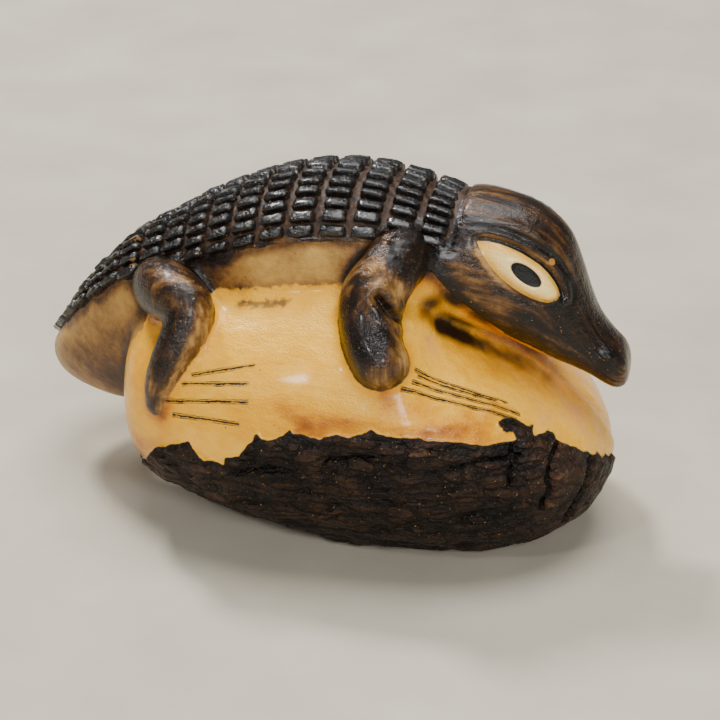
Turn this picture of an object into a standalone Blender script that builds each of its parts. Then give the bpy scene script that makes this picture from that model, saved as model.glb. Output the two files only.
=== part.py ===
"""A caiman carved from one tagua nut: it lies along the top of the nut, whose husk is left on underneath.

Sizes in the tables are in millimetres, and become metres when a mesh is made. The animal's head points to +X,
its right side to -Y, and +Z is up. X is measured from the middle of the nut until the last step, which moves
the finished carving so that the origin is on the table, below the middle of its box.
"""

import math
import random

import bmesh
import bpy
import numpy as np
from mathutils import Matrix

MM = 0.001
NAME = "tagua_caiman"

# How finely the form is shaped, and how many triangles are left in it
VOXEL = 0.5
SMOOTHING = 3
FORM_TRIANGLES = 4200
FLAT_WITHIN = 2.0  # degrees: faces that lie closer to one plane than this are made one
SHORTEST_EDGE = 0.01
FOOT_DEPTH = 0.9  # what is sanded off underneath, so that the nut stands

# The nut, as upright sections from the tail end to the snout end:
# x, lowest z, highest z, half width, height of the widest line, squareness of the top
NUT = (
    (-22.5, 10.4, 15.5, 3.0, 12.9, 2.0),
    (-22.0, 7.8, 19.8, 7.8, 12.9, 2.2),
    (-20.5, 5.9, 22.0, 10.9, 12.9, 2.1),
    (-17.5, 4.5, 23.9, 13.2, 12.9, 2.0),
    (-12.7, 3.0, 25.7, 15.2, 13.0, 2.0),
    (-6.0, 1.3, 27.2, 16.5, 13.2, 2.0),
    (1.0, 0.1, 27.8, 16.6, 13.5, 2.0),
    (5.5, 0.0, 26.6, 16.4, 13.5, 2.0),
    (8.2, 0.1, 22.4, 16.0, 13.3, 2.2),
    (11.0, 0.4, 20.2, 15.3, 12.8, 2.5),
    (15.0, 1.0, 17.6, 13.7, 11.8, 2.6),
    (18.4, 2.4, 15.0, 11.1, 10.6, 2.4),
    (20.9, 4.4, 12.8, 7.8, 9.6, 2.2),
    (22.2, 6.4, 10.9, 4.5, 8.9, 2.0),
    (22.8, 8.0, 9.4, 1.5, 8.7, 2.0),
)

# Where the husk stops on the side of the nut: x, z
HUSK_RIM = (
    (-22.5, 6.4), (-20.6, 7.6), (-17.5, 11.6), (-13.8, 13.2), (-7.7, 14.7), (-3.0, 15.7),
    (5.0, 16.3), (10.0, 15.8), (14.4, 15.4), (17.8, 14.4), (20.6, 11.6), (23.5, 8.6),
)
HUSK_THICKNESS = 0.5

# The body and tail, from the neck to the tip of the tail:
# top x, y, z, bottom x, y, z, half width, half angle that the scutes cover
SPINE = (
    (9.2, 0.0, 32.4, 7.6, 0.0, 23.0, 6.6, 56),
    (5.6, 0.0, 33.6, 4.6, 0.0, 20.5, 7.3, 58),
    (0.8, 0.0, 34.6, 0.4, 0.0, 19.5, 7.8, 60),
    (-4.2, 0.0, 34.6, -4.0, 0.0, 19.0, 7.9, 61),
    (-9.2, 0.0, 33.4, -8.4, 0.0, 18.0, 7.7, 61),
    (-14.0, 0.1, 31.4, -12.4, 0.1, 15.5, 7.1, 60),
    (-18.4, 0.3, 28.8, -16.2, 0.3, 12.8, 6.1, 56),
    (-22.0, 0.6, 26.6, -19.6, 0.6, 10.4, 5.2, 50),
    (-25.0, 1.2, 23.6, -22.8, 1.3, 9.4, 4.4, 46),
    (-27.5, 2.1, 20.4, -25.5, 2.3, 9.2, 3.8, 44),
    (-29.5, 3.4, 17.1, -27.9, 3.8, 9.4, 3.3, 40),
    (-30.8, 5.6, 14.4, -29.2, 6.0, 9.4, 3.0, 40),
    (-30.6, 8.6, 13.2, -28.8, 8.4, 9.0, 2.8, 40),
    (-28.5, 11.6, 12.8, -26.9, 11.0, 8.8, 2.7, 40),
    (-25.0, 13.9, 12.5, -24.0, 12.9, 9.0, 2.4, 40),
    (-21.0, 15.6, 12.3, -20.4, 14.6, 9.4, 1.8, 40),
    (-17.6, 16.6, 12.0, -17.4, 15.8, 10.4, 1.0, 40),
)

# The head, from inside the neck to the snout:
# top x, z, bottom x, z, half width at the jaw, how much narrower it is at the top, squareness
HEAD = (
    (5.2, 31.8, 4.6, 23.0, 6.3, 0.15, 2.2),
    (9.2, 33.9, 7.4, 22.3, 7.1, 0.20, 2.3),
    (12.9, 33.75, 10.7, 21.2, 7.1, 0.36, 2.3),
    (16.0, 32.7, 13.6, 20.3, 6.8, 0.46, 2.3),
    (18.3, 30.6, 16.0, 19.2, 6.1, 0.48, 2.3),
    (19.5, 27.8, 17.9, 18.4, 5.1, 0.46, 2.3),
    (20.4, 25.1, 19.5, 17.7, 4.1, 0.40, 2.3),
    (21.3, 22.9, 21.0, 17.0, 3.4, 0.28, 2.4),
    (22.6, 21.2, 22.1, 16.3, 2.9, 0.18, 2.5),
    (23.8, 19.9, 23.5, 15.9, 2.6, 0.12, 2.5),
    (24.2, 18.8, 24.2, 16.4, 1.9, 0.10, 2.3),
)

# Limbs of the right side, from the body to the foot: x, y, z, radius
FRONT_LEG = (
    (5.4, -4.2, 29.8, 2.1),
    (4.1, -6.9, 29.8, 2.6),
    (3.2, -8.7, 28.6, 2.8),
    (2.1, -10.1, 26.8, 2.95),
    (2.2, -11.5, 24.9, 2.7),
    (2.9, -12.8, 23.3, 2.6),
    (3.6, -13.5, 22.4, 2.55),
)
HIND_LEG = (
    (-19.3, -4.4, 24.2, 2.5),
    (-17.9, -7.0, 24.6, 2.8),
    (-16.3, -8.8, 24.8, 2.65),
    (-14.8, -9.9, 24.4, 2.3),
    (-14.85, -10.8, 22.8, 2.15),
    (-15.6, -11.8, 21.0, 1.95),
    (-16.5, -12.6, 19.1, 1.62),
    (-17.2, -12.9, 17.2, 1.25),
    (-17.4, -12.8, 15.8, 1.0),
)
FAR_LEG_DROP = (1.0, 2.4)  # the left legs are carved lower on the nut than the right ones

# The right eye: centre, half sizes (along its long axis, outwards, upwards), how far the long axis slopes
# down towards the snout, how far the eye leans back to look up, and how far it turns to look ahead
EYE = (14.7, -4.6, 28.3)
EYE_HALF_SIZE = (4.5, 0.9, 2.15)
EYE_SLOPE = 36.0
EYE_LEAN = 20.0
EYE_TURN = 12.0
PUPIL_HALF_SIZE = (1.7, 0.5, 0.95)
NOSTRIL = (22.5, -2.3, 19.6, 0.7)
BROW = (
    (9.85, -4.4, 32.0, 0.35),
    (12.5, -3.6, 32.2, 0.5),
    (15.45, -3.1, 31.3, 0.55),
    (17.15, -2.75, 30.0, 0.5),
    (17.95, -2.6, 28.95, 0.45),
    (18.6, -2.5, 27.6, 0.4),
    (18.8, -2.85, 25.7, 0.25),
)

# The scutes, in groups from the neck to the tail: rows, columns, first and last distance between rows
SCUTE_GROUPS = ((9, 12, 3.15, 2.6), (3, 10, 2.65, 2.65), (3, 8, 2.6, 2.5), (12, 4, 2.4, 1.6))
FIRST_ROW = 0.95
ROW_GAP = 0.9
GROUP_GAP = 0.1
SCUTE_HEIGHT = 0.8
SCUTE_OVERHANG = 0.1
SCUTE_BEVEL = 0.12
SCUTE_ROOT = 0.8
CREASE_HEIGHT = 0.3
GROOVE_HEIGHT = 0.12


def clear_scene():
    for thing in list(bpy.data.objects):
        bpy.data.objects.remove(thing)


def make_material():
    tagua = bpy.data.materials.new("stained_tagua")
    tagua.use_nodes = True
    shader = tagua.node_tree.nodes["Principled BSDF"]
    shader.inputs["Base Color"].default_value = (0.62, 0.40, 0.15, 1.0)
    shader.inputs["Roughness"].default_value = 0.32
    shader.inputs["Metallic"].default_value = 0.0
    return tagua


def knots_of(rows):
    """A place for each row of a table along the curve through them, from the distances between them."""
    steps = np.linalg.norm(np.diff(rows[:, :3], axis=0), axis=1)
    return np.concatenate([[0], np.cumsum(steps)])


def read_at(rows, places):
    """A cubic curve through the rows, whose slope at each row is that between its neighbours."""
    knots = knots_of(rows)
    slopes = np.gradient(rows, knots, axis=0)
    i = np.clip(np.searchsorted(knots, places, side="right") - 1, 0, len(knots) - 2)
    width = (knots[i + 1] - knots[i])[:, None]
    t = (places - knots[i])[:, None] / width
    return (
        (1 + 2 * t) * (1 - t) ** 2 * rows[i]
        + t * (1 - t) ** 2 * width * slopes[i]
        + t**2 * (3 - 2 * t) * rows[i + 1]
        + t**2 * (t - 1) * width * slopes[i + 1]
    )


def along(table, count):
    rows = np.array(table, float)
    return read_at(rows, np.linspace(0, knots_of(rows)[-1], count))


def rounded(value, squareness):
    """A sine or cosine pushed out towards a square, as in a superellipse."""
    return np.sign(value) * np.abs(value) ** (2 / np.maximum(squareness, 1.0))


def make_object(name, points, faces, collection):
    mesh = bpy.data.meshes.new(name)
    mesh.from_pydata([tuple(p * MM) for p in points], [], faces)
    mesh.update()
    thing = bpy.data.objects.new(name, mesh)
    collection.objects.link(thing)
    return thing


def loft(name, rings, collection):
    """A closed skin over rings of equally many points, with a flat cap at each end."""
    count, around = rings.shape[:2]
    faces = [tuple(range(around))[::-1]]
    for r in range(count - 1):
        for k in range(around):
            a, b = r * around + k, r * around + (k + 1) % around
            faces.append((a, b, b + around, a + around))
    faces.append(tuple(range((count - 1) * around, count * around)))
    return make_object(name, rings.reshape(-1, 3), faces, collection)


def nut_rings(swell, count, around):
    """Sections of the nut. Swell moves the skin outwards."""
    rings = []
    turn = np.linspace(0, 2 * math.pi, around, endpoint=False)
    across, upward = np.cos(turn), np.sin(turn)
    for x, low, high, half, widest, squareness in along(NUT, count):
        y = (half + swell) * rounded(across, 2.1)
        top = widest + (high - widest + swell) * rounded(upward, squareness)
        bottom = widest + (widest - low + swell) * rounded(upward, 2.1)
        rings.append(np.stack([np.full(around, x), y, np.where(upward > 0, top, bottom)], axis=1))
    return np.array(rings)


def make_nut(collection):
    return loft("nut", nut_rings(0, 60, 72), collection)


def off_nut(point):
    """How far out a point is from the middle line of the nut: 1 is its skin."""
    x, y, z = point
    rows = np.array(NUT)
    low, high, half, widest, squareness = (np.interp(x, rows[:, 0], rows[:, k]) for k in range(1, 6))
    height, power = (high - widest, squareness) if z > widest else (widest - low, 2.1)
    return (abs(y) / half) ** 2.1 + (abs(z - widest) / height) ** power


def raise_husk(thing):
    """The husk stands proud of the carved ivory, below the rim that it was cut back to."""
    rim_x, rim_z = np.array(HUSK_RIM).T
    for vertex in thing.data.vertices:
        x, y, z = vertex.co / MM
        on_nut = x > NUT[0][0] - 0.6 and off_nut((x, y, z)) < 1.3
        if on_nut and z < np.interp(x, rim_x, rim_z):
            vertex.co += vertex.normal * HUSK_THICKNESS * MM


def spine_length():
    return knots_of(np.array(SPINE, float))[-1]


def spine_frames(places):
    """Top, middle, sideways half width and half angle of the scutes for sections along the spine."""
    rows = read_at(np.array(SPINE, float), places)
    ahead = read_at(np.array(SPINE, float), places + 0.2)
    behind = read_at(np.array(SPINE, float), places - 0.2)
    top, bottom, half, cover = rows[:, 0:3], rows[:, 3:6], rows[:, 6], rows[:, 7]
    forward = (ahead[:, 0:3] + ahead[:, 3:6] - behind[:, 0:3] - behind[:, 3:6]) / 2
    middle = (top + bottom) / 2
    side = np.cross(forward, top - middle)
    side /= np.linalg.norm(side, axis=1)[:, None]
    return top, middle, side * half[:, None], np.radians(cover)


def on_body(places, turns, lift):
    """Points on the skin of the body: turn 0 is the line of the spine. Lift is the height above the skin."""
    top, middle, side, _ = spine_frames(places)
    upward = top - middle
    height = np.linalg.norm(upward, axis=1)[:, None]
    width = np.linalg.norm(side, axis=1)[:, None]
    up_part = rounded(np.cos(turns), 2.3)[:, None]
    side_part = rounded(np.sin(turns), 2.3)[:, None]
    skin = middle + up_part * upward + side_part * side
    normal = up_part * upward / height**2 + side_part * side / width**2
    normal /= np.linalg.norm(normal, axis=1)[:, None]
    return skin + normal * lift


def make_body(collection):
    places = np.linspace(0, spine_length(), 90)
    turn = np.linspace(0, 2 * math.pi, 48, endpoint=False)
    rings = [on_body(np.full(48, place), turn, 0.0) for place in places]
    return loft("body_and_tail", np.array(rings), collection)


def make_head(collection):
    rings = []
    turn = np.linspace(0, 2 * math.pi, 48, endpoint=False)
    for top_x, top_z, low_x, low_z, half, narrowing, squareness in along(HEAD, 60):
        upward = (rounded(np.sin(turn), squareness) + 1) / 2
        y = half * (1 - narrowing * upward) * rounded(np.cos(turn), squareness)
        x = low_x + (top_x - low_x) * upward
        z = low_z + (top_z - low_z) * upward
        rings.append(np.stack([x, y, z], axis=1))
    return loft("head", np.array(rings), collection)


def tube(name, table, collection):
    """A limb: a curve with a round bevel whose radius follows the table, ending in a half-ball."""
    curve = bpy.data.curves.new(name, "CURVE")
    curve.dimensions = "3D"
    curve.bevel_depth = MM
    curve.bevel_resolution = 5
    curve.use_fill_caps = True
    rows = along(table, 24)
    last = rows[-1]
    heading = (rows[-1, :3] - rows[-2, :3]) / np.linalg.norm(rows[-1, :3] - rows[-2, :3])
    for angle in (30, 55, 75, 87):
        radius = last[3] * math.cos(math.radians(angle))
        beyond = last[:3] + heading * last[3] * math.sin(math.radians(angle))
        rows = np.vstack([rows, [*beyond, radius]])
    spline = curve.splines.new("POLY")
    spline.points.add(len(rows) - 1)
    for point, (x, y, z, radius) in zip(spline.points, rows):
        point.co = (x * MM, y * MM, z * MM, 1)
        point.radius = radius
    thing = bpy.data.objects.new(name, curve)
    collection.objects.link(thing)
    return thing


def mirrored(table, drop=0.0):
    return [(x, -y, z - drop, radius) for x, y, z, radius in table]


def make_ball(name, ball, collection):
    bpy.ops.mesh.primitive_ico_sphere_add(subdivisions=3, radius=ball[3] * MM)
    thing = bpy.context.object
    thing.name = name
    for owner in thing.users_collection:
        owner.objects.unlink(thing)
    collection.objects.link(thing)
    thing.location = [value * MM for value in ball[:3]]
    return thing


def make_almond(name, side, sizes, lift, collection):
    """An eye or a pupil: a flattened ball, narrowed to a corner at each end of its long axis."""
    around, up = 18, 8
    rings = []
    for k in range(1, up):
        tilt = math.pi * k / up
        for m in range(around):
            turn = 2 * math.pi * m / around
            rings.append((math.sin(tilt) * math.cos(turn), -math.cos(tilt), math.sin(tilt) * math.sin(turn)))
    rings = np.array([(0, -1, 0), *rings, (0, 1, 0)])
    rings[:, 2] *= 1 - 0.35 * rings[:, 0] ** 2
    points = rings * sizes
    points[:, 1] -= lift
    pose = (
        Matrix.Rotation(math.radians(EYE_TURN), 3, "Z")
        @ Matrix.Rotation(math.radians(-EYE_LEAN), 3, "X")
        @ Matrix.Rotation(math.radians(EYE_SLOPE), 3, "Y")
    )
    points = (points @ np.array(pose).T + EYE) * (1, -side, 1)
    faces = [(0, 1 + (m + 1) % around, 1 + m) for m in range(around)]
    for k in range(up - 2):
        for m in range(around):
            n = (m + 1) % around
            a, b = 1 + k * around + m, 1 + k * around + n
            faces.append((a, b, b + around, a + around))
    last = len(points) - 1
    faces += [(last, last - around + m, last - around + (m + 1) % around) for m in range(around)]
    if side < 0:
        faces = [face[::-1] for face in faces]
    return make_object(name, points, faces, collection)


def row_profile(columns, cover, height, chance):
    """Turns and heights across one row of scutes: each rises from a crease and overhangs the next one out."""
    edges = np.linspace(-cover, cover, columns + 1)
    turns, lifts = [edges[0]], [GROOVE_HEIGHT]
    for left, right in zip(edges[:-1], edges[1:]):
        bevel = SCUTE_BEVEL * (right - left)
        outwards = np.sign(left + right) * SCUTE_OVERHANG
        tall = height * chance.uniform(0.88, 1.06)
        turns += [left + bevel, right - bevel, right]
        lifts += [tall - outwards, tall + outwards, CREASE_HEIGHT]
    lifts[-1] = GROOVE_HEIGHT
    return np.array(turns), np.array(lifts)


def across_back(place, turns, lifts):
    """A closed loop over the back at one place, which dips inside the body at both ends."""
    over = on_body(np.full(len(turns), place), turns, lifts[:, None])
    ends = on_body(np.full(2, place), turns[[-1, 0]], -SCUTE_ROOT)
    return np.vstack([over, ends])


def make_scutes(collection):
    """Raised blocks in rows across the back and tail, with wider grooves between the rows than within them."""
    chance = random.Random(4)
    plates = []
    start = FIRST_ROW
    for rows, columns, first_pitch, last_pitch in SCUTE_GROUPS:
        rings = []
        for pitch in np.linspace(first_pitch, last_pitch, rows):
            share = pitch / SCUTE_GROUPS[0][2]
            cover = spine_frames(np.array([start + pitch / 2]))[3][0]
            turns, lifts = row_profile(columns, cover, SCUTE_HEIGHT * (0.4 + 0.6 * share), chance)
            slant = ROW_GAP * share / 2
            floor = np.full(len(turns), GROOVE_HEIGHT)
            rings += [
                across_back(start, turns, floor),
                across_back(start + slant, turns, lifts),
                across_back(start + pitch - slant, turns, lifts),
            ]
            start += pitch
        rings.append(across_back(start - GROUP_GAP, turns, floor))
        plates.append(loft("scutes", np.array(rings), collection))
    return plates


def as_meshes(things):
    """Each object as a plain mesh object in world space."""
    graph = bpy.context.evaluated_depsgraph_get()
    made = []
    for thing in things:
        mesh = bpy.data.meshes.new_from_object(thing.evaluated_get(graph))
        mesh.transform(thing.matrix_world)
        made.append(bpy.data.objects.new(thing.name + "_mesh", mesh))
        bpy.context.scene.collection.objects.link(made[-1])
        bpy.data.objects.remove(thing)
    return made


def join(things, name):
    for thing in bpy.context.selected_objects:
        thing.select_set(False)
    for thing in things:
        thing.select_set(True)
    bpy.context.view_layer.objects.active = things[0]
    bpy.ops.object.join()
    things[0].name = name
    return things[0]


def apply_modifiers(thing):
    graph = bpy.context.evaluated_depsgraph_get()
    mesh = bpy.data.meshes.new_from_object(thing.evaluated_get(graph))
    thing.modifiers.clear()
    thing.data = mesh


def fuse(thing):
    """One skin over all the forms, softened where they meet, as in a filed and polished carving."""
    weld = thing.modifiers.new("caps", "WELD")
    weld.merge_threshold = 0.00001
    remesh = thing.modifiers.new("one_skin", "REMESH")
    remesh.mode = "VOXEL"
    remesh.voxel_size = VOXEL * MM
    soften = thing.modifiers.new("soften", "SMOOTH")
    soften.iterations = SMOOTHING
    soften.factor = 0.5
    apply_modifiers(thing)
    raise_husk(thing)
    plain = thing.vertex_groups.new(name="plain")
    for vertex in thing.data.vertices:
        x, y, z = vertex.co / MM
        under_scutes = x < 8.0 and z > 20.0 + 0.5 * min(x + 16.0, 0.0) and abs(y) < 6.5
        on_nut = z < 16.0
        on_head = x > 8.0 and z > 15.5 + 0.5 * (24.0 - x)
        weight = 0.9 if under_scutes else 0.15 if on_head else 0.4 if on_nut else 0.2
        plain.add([vertex.index], weight, "REPLACE")
    triangles = sum(len(face.vertices) - 2 for face in thing.data.polygons)
    thin = thing.modifiers.new("fewer_faces", "DECIMATE")
    thin.ratio = FORM_TRIANGLES / triangles
    thin.vertex_group = plain.name
    thin.vertex_group_factor = 1.0
    apply_modifiers(thing)


def combine(thing, other, operation):
    """A Boolean with the other object, which is removed afterwards."""
    boolean = thing.modifiers.new(other.name, "BOOLEAN")
    boolean.operation = operation
    boolean.solver = "EXACT"
    boolean.object = other
    apply_modifiers(thing)
    bpy.data.objects.remove(other)


def merge_flat_faces(thing):
    """Fewer faces where the skin is nearly flat, and no slivers left by the Booleans."""
    flatten = thing.modifiers.new("merge_flat_faces", "DECIMATE")
    flatten.decimate_type = "DISSOLVE"
    flatten.angle_limit = math.radians(FLAT_WITHIN)
    apply_modifiers(thing)
    mesh = bmesh.new()
    mesh.from_mesh(thing.data)
    bmesh.ops.triangulate(mesh, faces=mesh.faces)
    bmesh.ops.dissolve_degenerate(mesh, edges=mesh.edges, dist=SHORTEST_EDGE * MM)
    bmesh.ops.triangulate(mesh, faces=mesh.faces)
    mesh.to_mesh(thing.data)
    mesh.free()


def table_block(collection):
    """A block from below the nut up to the level that it is sanded to."""
    corners = [
        np.array((x, y, z)) for z in (-10.0, FOOT_DEPTH) for x, y in ((-40, -30), (40, -30), (40, 30), (-40, 30))
    ]
    sides = [(k, (k + 1) % 4, 4 + (k + 1) % 4, 4 + k) for k in range(4)]
    block = make_object("table", corners, [(3, 2, 1, 0), (4, 5, 6, 7), *sides], collection)
    block.hide_render = True
    block.display_type = "WIRE"
    return block


def rest_on_origin(thing):
    """Moves the mesh so that the origin is below the middle of its box, on the table."""
    count = len(thing.data.vertices)
    points = np.empty(count * 3)
    thing.data.vertices.foreach_get("co", points)
    points = points.reshape(-1, 3)
    low, high = points.min(axis=0), points.max(axis=0)
    points -= ((low[0] + high[0]) / 2, (low[1] + high[1]) / 2, low[2])
    thing.data.vertices.foreach_set("co", points.ravel())
    thing.data.update()


def main():
    clear_scene()
    parts = bpy.data.collections.new(NAME)
    cutters = bpy.data.collections.new(NAME + "_cutters")
    for collection in (parts, cutters):
        bpy.context.scene.collection.children.link(collection)
    forms = [
        make_nut(parts),
        make_body(parts),
        make_head(parts),
        tube("front_leg_right", FRONT_LEG, parts),
        tube("front_leg_left", mirrored(FRONT_LEG, FAR_LEG_DROP[0]), parts),
        tube("hind_leg_right", HIND_LEG, parts),
        tube("hind_leg_left", mirrored(HIND_LEG, FAR_LEG_DROP[1]), parts),
        tube("brow_right", BROW, parts),
        tube("brow_left", mirrored(BROW), parts),
        make_ball("nostril_right", NOSTRIL, parts),
        make_ball("nostril_left", mirrored([NOSTRIL])[0], parts),
    ]
    bpy.context.view_layer.update()
    carving = join(as_meshes(forms), NAME)
    bpy.context.scene.collection.objects.unlink(carving)
    parts.objects.link(carving)
    fuse(carving)
    for plate in make_scutes(cutters):
        combine(carving, plate, "UNION")
    for side in (1, -1):
        combine(carving, make_almond("eye", side, EYE_HALF_SIZE, 0.0, cutters), "UNION")
        combine(carving, make_almond("pupil", side, PUPIL_HALF_SIZE, 1.05, cutters), "DIFFERENCE")
    combine(carving, table_block(cutters), "DIFFERENCE")
    merge_flat_faces(carving)
    rest_on_origin(carving)
    carving.data.shade_smooth()
    carving.data.set_sharp_from_angle(angle=math.radians(35))
    carving.data.materials.clear()
    carving.data.materials.append(make_material())


main()
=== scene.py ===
"""The looks of a caiman carved from one tagua nut: polished seed ivory, a brushed brown-black stain, and
the nut's own husk left on underneath. The carving is made from the same tables as the solid, more finely.

The tables are in millimetres in the carver's frame: x towards the snout from the middle of the nut, the
animal's right side at -y, z up from the lowest point of the nut. The last step moves the work into the part's
own frame.
"""

import math
import random
from types import SimpleNamespace

import bmesh
import bpy
import numpy as np
from mathutils import Matrix, Vector

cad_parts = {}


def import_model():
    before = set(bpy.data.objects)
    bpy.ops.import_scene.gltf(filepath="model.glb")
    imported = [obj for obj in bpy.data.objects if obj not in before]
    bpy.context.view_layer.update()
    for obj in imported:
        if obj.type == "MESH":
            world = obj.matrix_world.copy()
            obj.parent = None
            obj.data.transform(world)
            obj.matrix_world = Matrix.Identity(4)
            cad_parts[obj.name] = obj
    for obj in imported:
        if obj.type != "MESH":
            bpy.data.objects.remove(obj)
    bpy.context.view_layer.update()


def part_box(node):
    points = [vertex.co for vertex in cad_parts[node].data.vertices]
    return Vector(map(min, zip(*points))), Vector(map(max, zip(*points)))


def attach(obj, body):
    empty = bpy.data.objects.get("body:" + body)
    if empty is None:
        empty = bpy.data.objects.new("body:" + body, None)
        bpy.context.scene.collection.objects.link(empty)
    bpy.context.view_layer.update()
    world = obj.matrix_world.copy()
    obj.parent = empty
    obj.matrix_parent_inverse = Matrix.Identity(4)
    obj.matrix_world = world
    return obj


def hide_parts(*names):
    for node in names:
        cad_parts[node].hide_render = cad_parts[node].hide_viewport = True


NODE = "tagua_caiman"
MM = 0.001
WORK_MIDDLE = (-4.4471, 0.1188)  # the middle of the carving's length and width in the carver's frame
FOOT_DEPTH = 0.9  # what is sanded off underneath, so that the nut stands

VOXEL = 0.42  # how finely the skin is made
SMOOTHING = 5  # rounds of softening after that
FAR_OUT = -9.0  # a depth well outside any finish

# The nut, as upright sections from the tail end to the snout end:
# x, lowest z, highest z, half width, height of the widest line, squareness of the top
NUT = (
    (-22.5, 10.4, 15.5, 3.0, 12.9, 2.0), (-22.0, 7.8, 19.8, 7.8, 12.9, 2.2),
    (-20.5, 5.9, 22.0, 10.9, 12.9, 2.1), (-17.5, 4.5, 23.9, 13.2, 12.9, 2.0),
    (-12.7, 3.0, 25.7, 15.2, 13.0, 2.0), (-6.0, 1.3, 27.2, 16.5, 13.2, 2.0),
    (1.0, 0.1, 27.8, 16.6, 13.5, 2.0), (5.5, 0.0, 26.6, 16.4, 13.5, 2.0), (8.2, 0.1, 22.4, 16.0, 13.3, 2.2),
    (11.0, 0.4, 20.2, 15.3, 12.8, 2.5), (15.0, 1.0, 17.6, 13.7, 11.8, 2.6),
    (18.4, 2.4, 15.0, 11.1, 10.6, 2.4), (20.9, 4.4, 12.8, 7.8, 9.6, 2.2), (22.2, 6.4, 10.9, 4.5, 8.9, 2.0),
    (22.8, 8.0, 9.4, 1.5, 8.7, 2.0),
)

NUT_SQUARENESS = 2.1  # of its sides and underside

# Where the knife stopped in the husk, on the side of the nut: x, z
HUSK_RIM = (
    (-23.5, 6.2), (-20.6, 7.6), (-19.2, 8.7), (-18.0, 10.7), (-17.2, 11.6), (-14.9, 12.8), (-13.8, 13.3),
    (-13.2, 12.5), (-12.2, 11.7), (-11.4, 12.1), (-10.2, 11.9), (-10.1, 12.5), (-8.7, 12.9), (-8.1, 14.0),
    (-7.5, 14.7), (-7.0, 15.5), (-6.6, 15.0), (-5.5, 15.1), (-4.6, 15.6), (-4.0, 16.3), (-3.7, 15.9),
    (-2.6, 15.9), (-1.2, 15.7), (0.3, 16.3), (1.4, 16.0), (2.6, 16.5), (3.3, 16.9), (4.2, 16.5), (6.0, 16.3),
    (7.5, 16.3), (8.2, 16.0), (10.8, 15.8), (13.0, 15.2), (14.3, 15.1), (15.5, 15.0), (15.3, 15.4),
    (14.6, 15.7), (13.9, 16.1), (13.9, 16.5), (14.4, 16.5), (15.6, 15.8), (16.7, 15.2), (16.8, 14.6),
    (17.8, 14.4), (18.8, 13.6), (20.0, 12.5), (21.1, 11.5), (21.9, 10.6), (22.5, 9.6), (23.1, 8.5),
    (24.5, 6.5),
)
HUSK_THICKNESS = 0.5
HUSK_EDGE = 0.03  # how far under the rim the dry husk's own finish begins
PLATE_SIZE = 1.1  # how far across the husk's crazed plates are
ALONG_NUT = (0.35, 0.6, 1.0)  # stretches a pattern along the nut, as its fibres run
# Splits in the husk, each as x, z
HUSK_SPLITS = (
    ((15.2, 15.2), (15.6, 13.0), (15.1, 11.4)),
    ((18.6, 13.6), (18.2, 12.2), (18.4, 10.2), (17.7, 8.6)),
    ((21.4, 10.9), (21.0, 8.7), (19.4, 5.7)),
    ((-0.6, 13.8), (1.6, 14.3), (4.6, 14.7)),
    ((10.4, 13.7), (12.8, 14.1), (16.0, 13.9)),
    ((-9.0, 11.4), (-6.0, 12.4), (-3.4, 12.2)),
)

# The body and tail, from the neck to the tip of the tail:
# top x, y, z, bottom x, y, z, half width, half angle that the scutes cover
SPINE = (
    (9.2, 0.0, 32.4, 7.6, 0.0, 23.0, 6.6, 56), (5.6, 0.0, 33.6, 4.6, 0.0, 20.5, 7.3, 58),
    (0.8, 0.0, 34.6, 0.4, 0.0, 19.5, 7.8, 60), (-4.2, 0.0, 34.6, -4.0, 0.0, 19.0, 7.9, 61),
    (-9.2, 0.0, 33.4, -8.4, 0.0, 18.0, 7.7, 61), (-14.0, 0.1, 31.4, -12.4, 0.1, 15.5, 7.1, 60),
    (-18.4, 0.3, 28.8, -16.2, 0.3, 12.8, 6.1, 56), (-22.0, 0.6, 26.6, -19.6, 0.6, 10.4, 5.2, 50),
    (-25.0, 1.2, 23.6, -22.8, 1.3, 9.4, 4.4, 46), (-27.5, 2.1, 20.4, -25.5, 2.3, 9.2, 3.8, 44),
    (-29.5, 3.4, 17.1, -27.9, 3.8, 9.4, 3.3, 40), (-30.8, 5.6, 14.4, -29.2, 6.0, 9.4, 3.0, 40),
    (-30.6, 8.6, 13.2, -28.8, 8.4, 9.0, 2.8, 40), (-28.5, 11.6, 12.8, -26.9, 11.0, 8.8, 2.7, 40),
    (-25.0, 13.9, 12.5, -24.0, 12.9, 9.0, 2.4, 40), (-21.0, 15.6, 12.3, -20.4, 14.6, 9.4, 1.8, 40),
    (-17.6, 16.6, 12.0, -17.4, 15.8, 10.4, 1.0, 40),
)
BODY_SQUARENESS = 2.3

# The head, from inside the neck to the snout:
# top x, z, bottom x, z, half width at the jaw, how much narrower it is at the top, squareness
HEAD = (
    (5.2, 31.8, 4.6, 23.0, 6.3, 0.15, 2.2), (9.2, 33.9, 7.4, 22.3, 7.1, 0.20, 2.3),
    (12.9, 33.75, 10.7, 21.2, 7.1, 0.36, 2.3), (16.0, 32.7, 13.6, 20.3, 6.8, 0.46, 2.3),
    (18.3, 30.6, 16.0, 19.2, 6.1, 0.48, 2.3), (19.5, 27.8, 17.9, 18.4, 5.1, 0.46, 2.3),
    (20.4, 25.1, 19.5, 17.7, 4.1, 0.40, 2.3), (21.3, 22.9, 21.0, 17.0, 3.4, 0.28, 2.4),
    (22.6, 21.2, 22.1, 16.3, 2.9, 0.18, 2.5), (23.8, 19.9, 23.5, 15.9, 2.6, 0.12, 2.5),
    (24.2, 18.8, 24.2, 16.4, 1.9, 0.10, 2.3),
)

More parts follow.
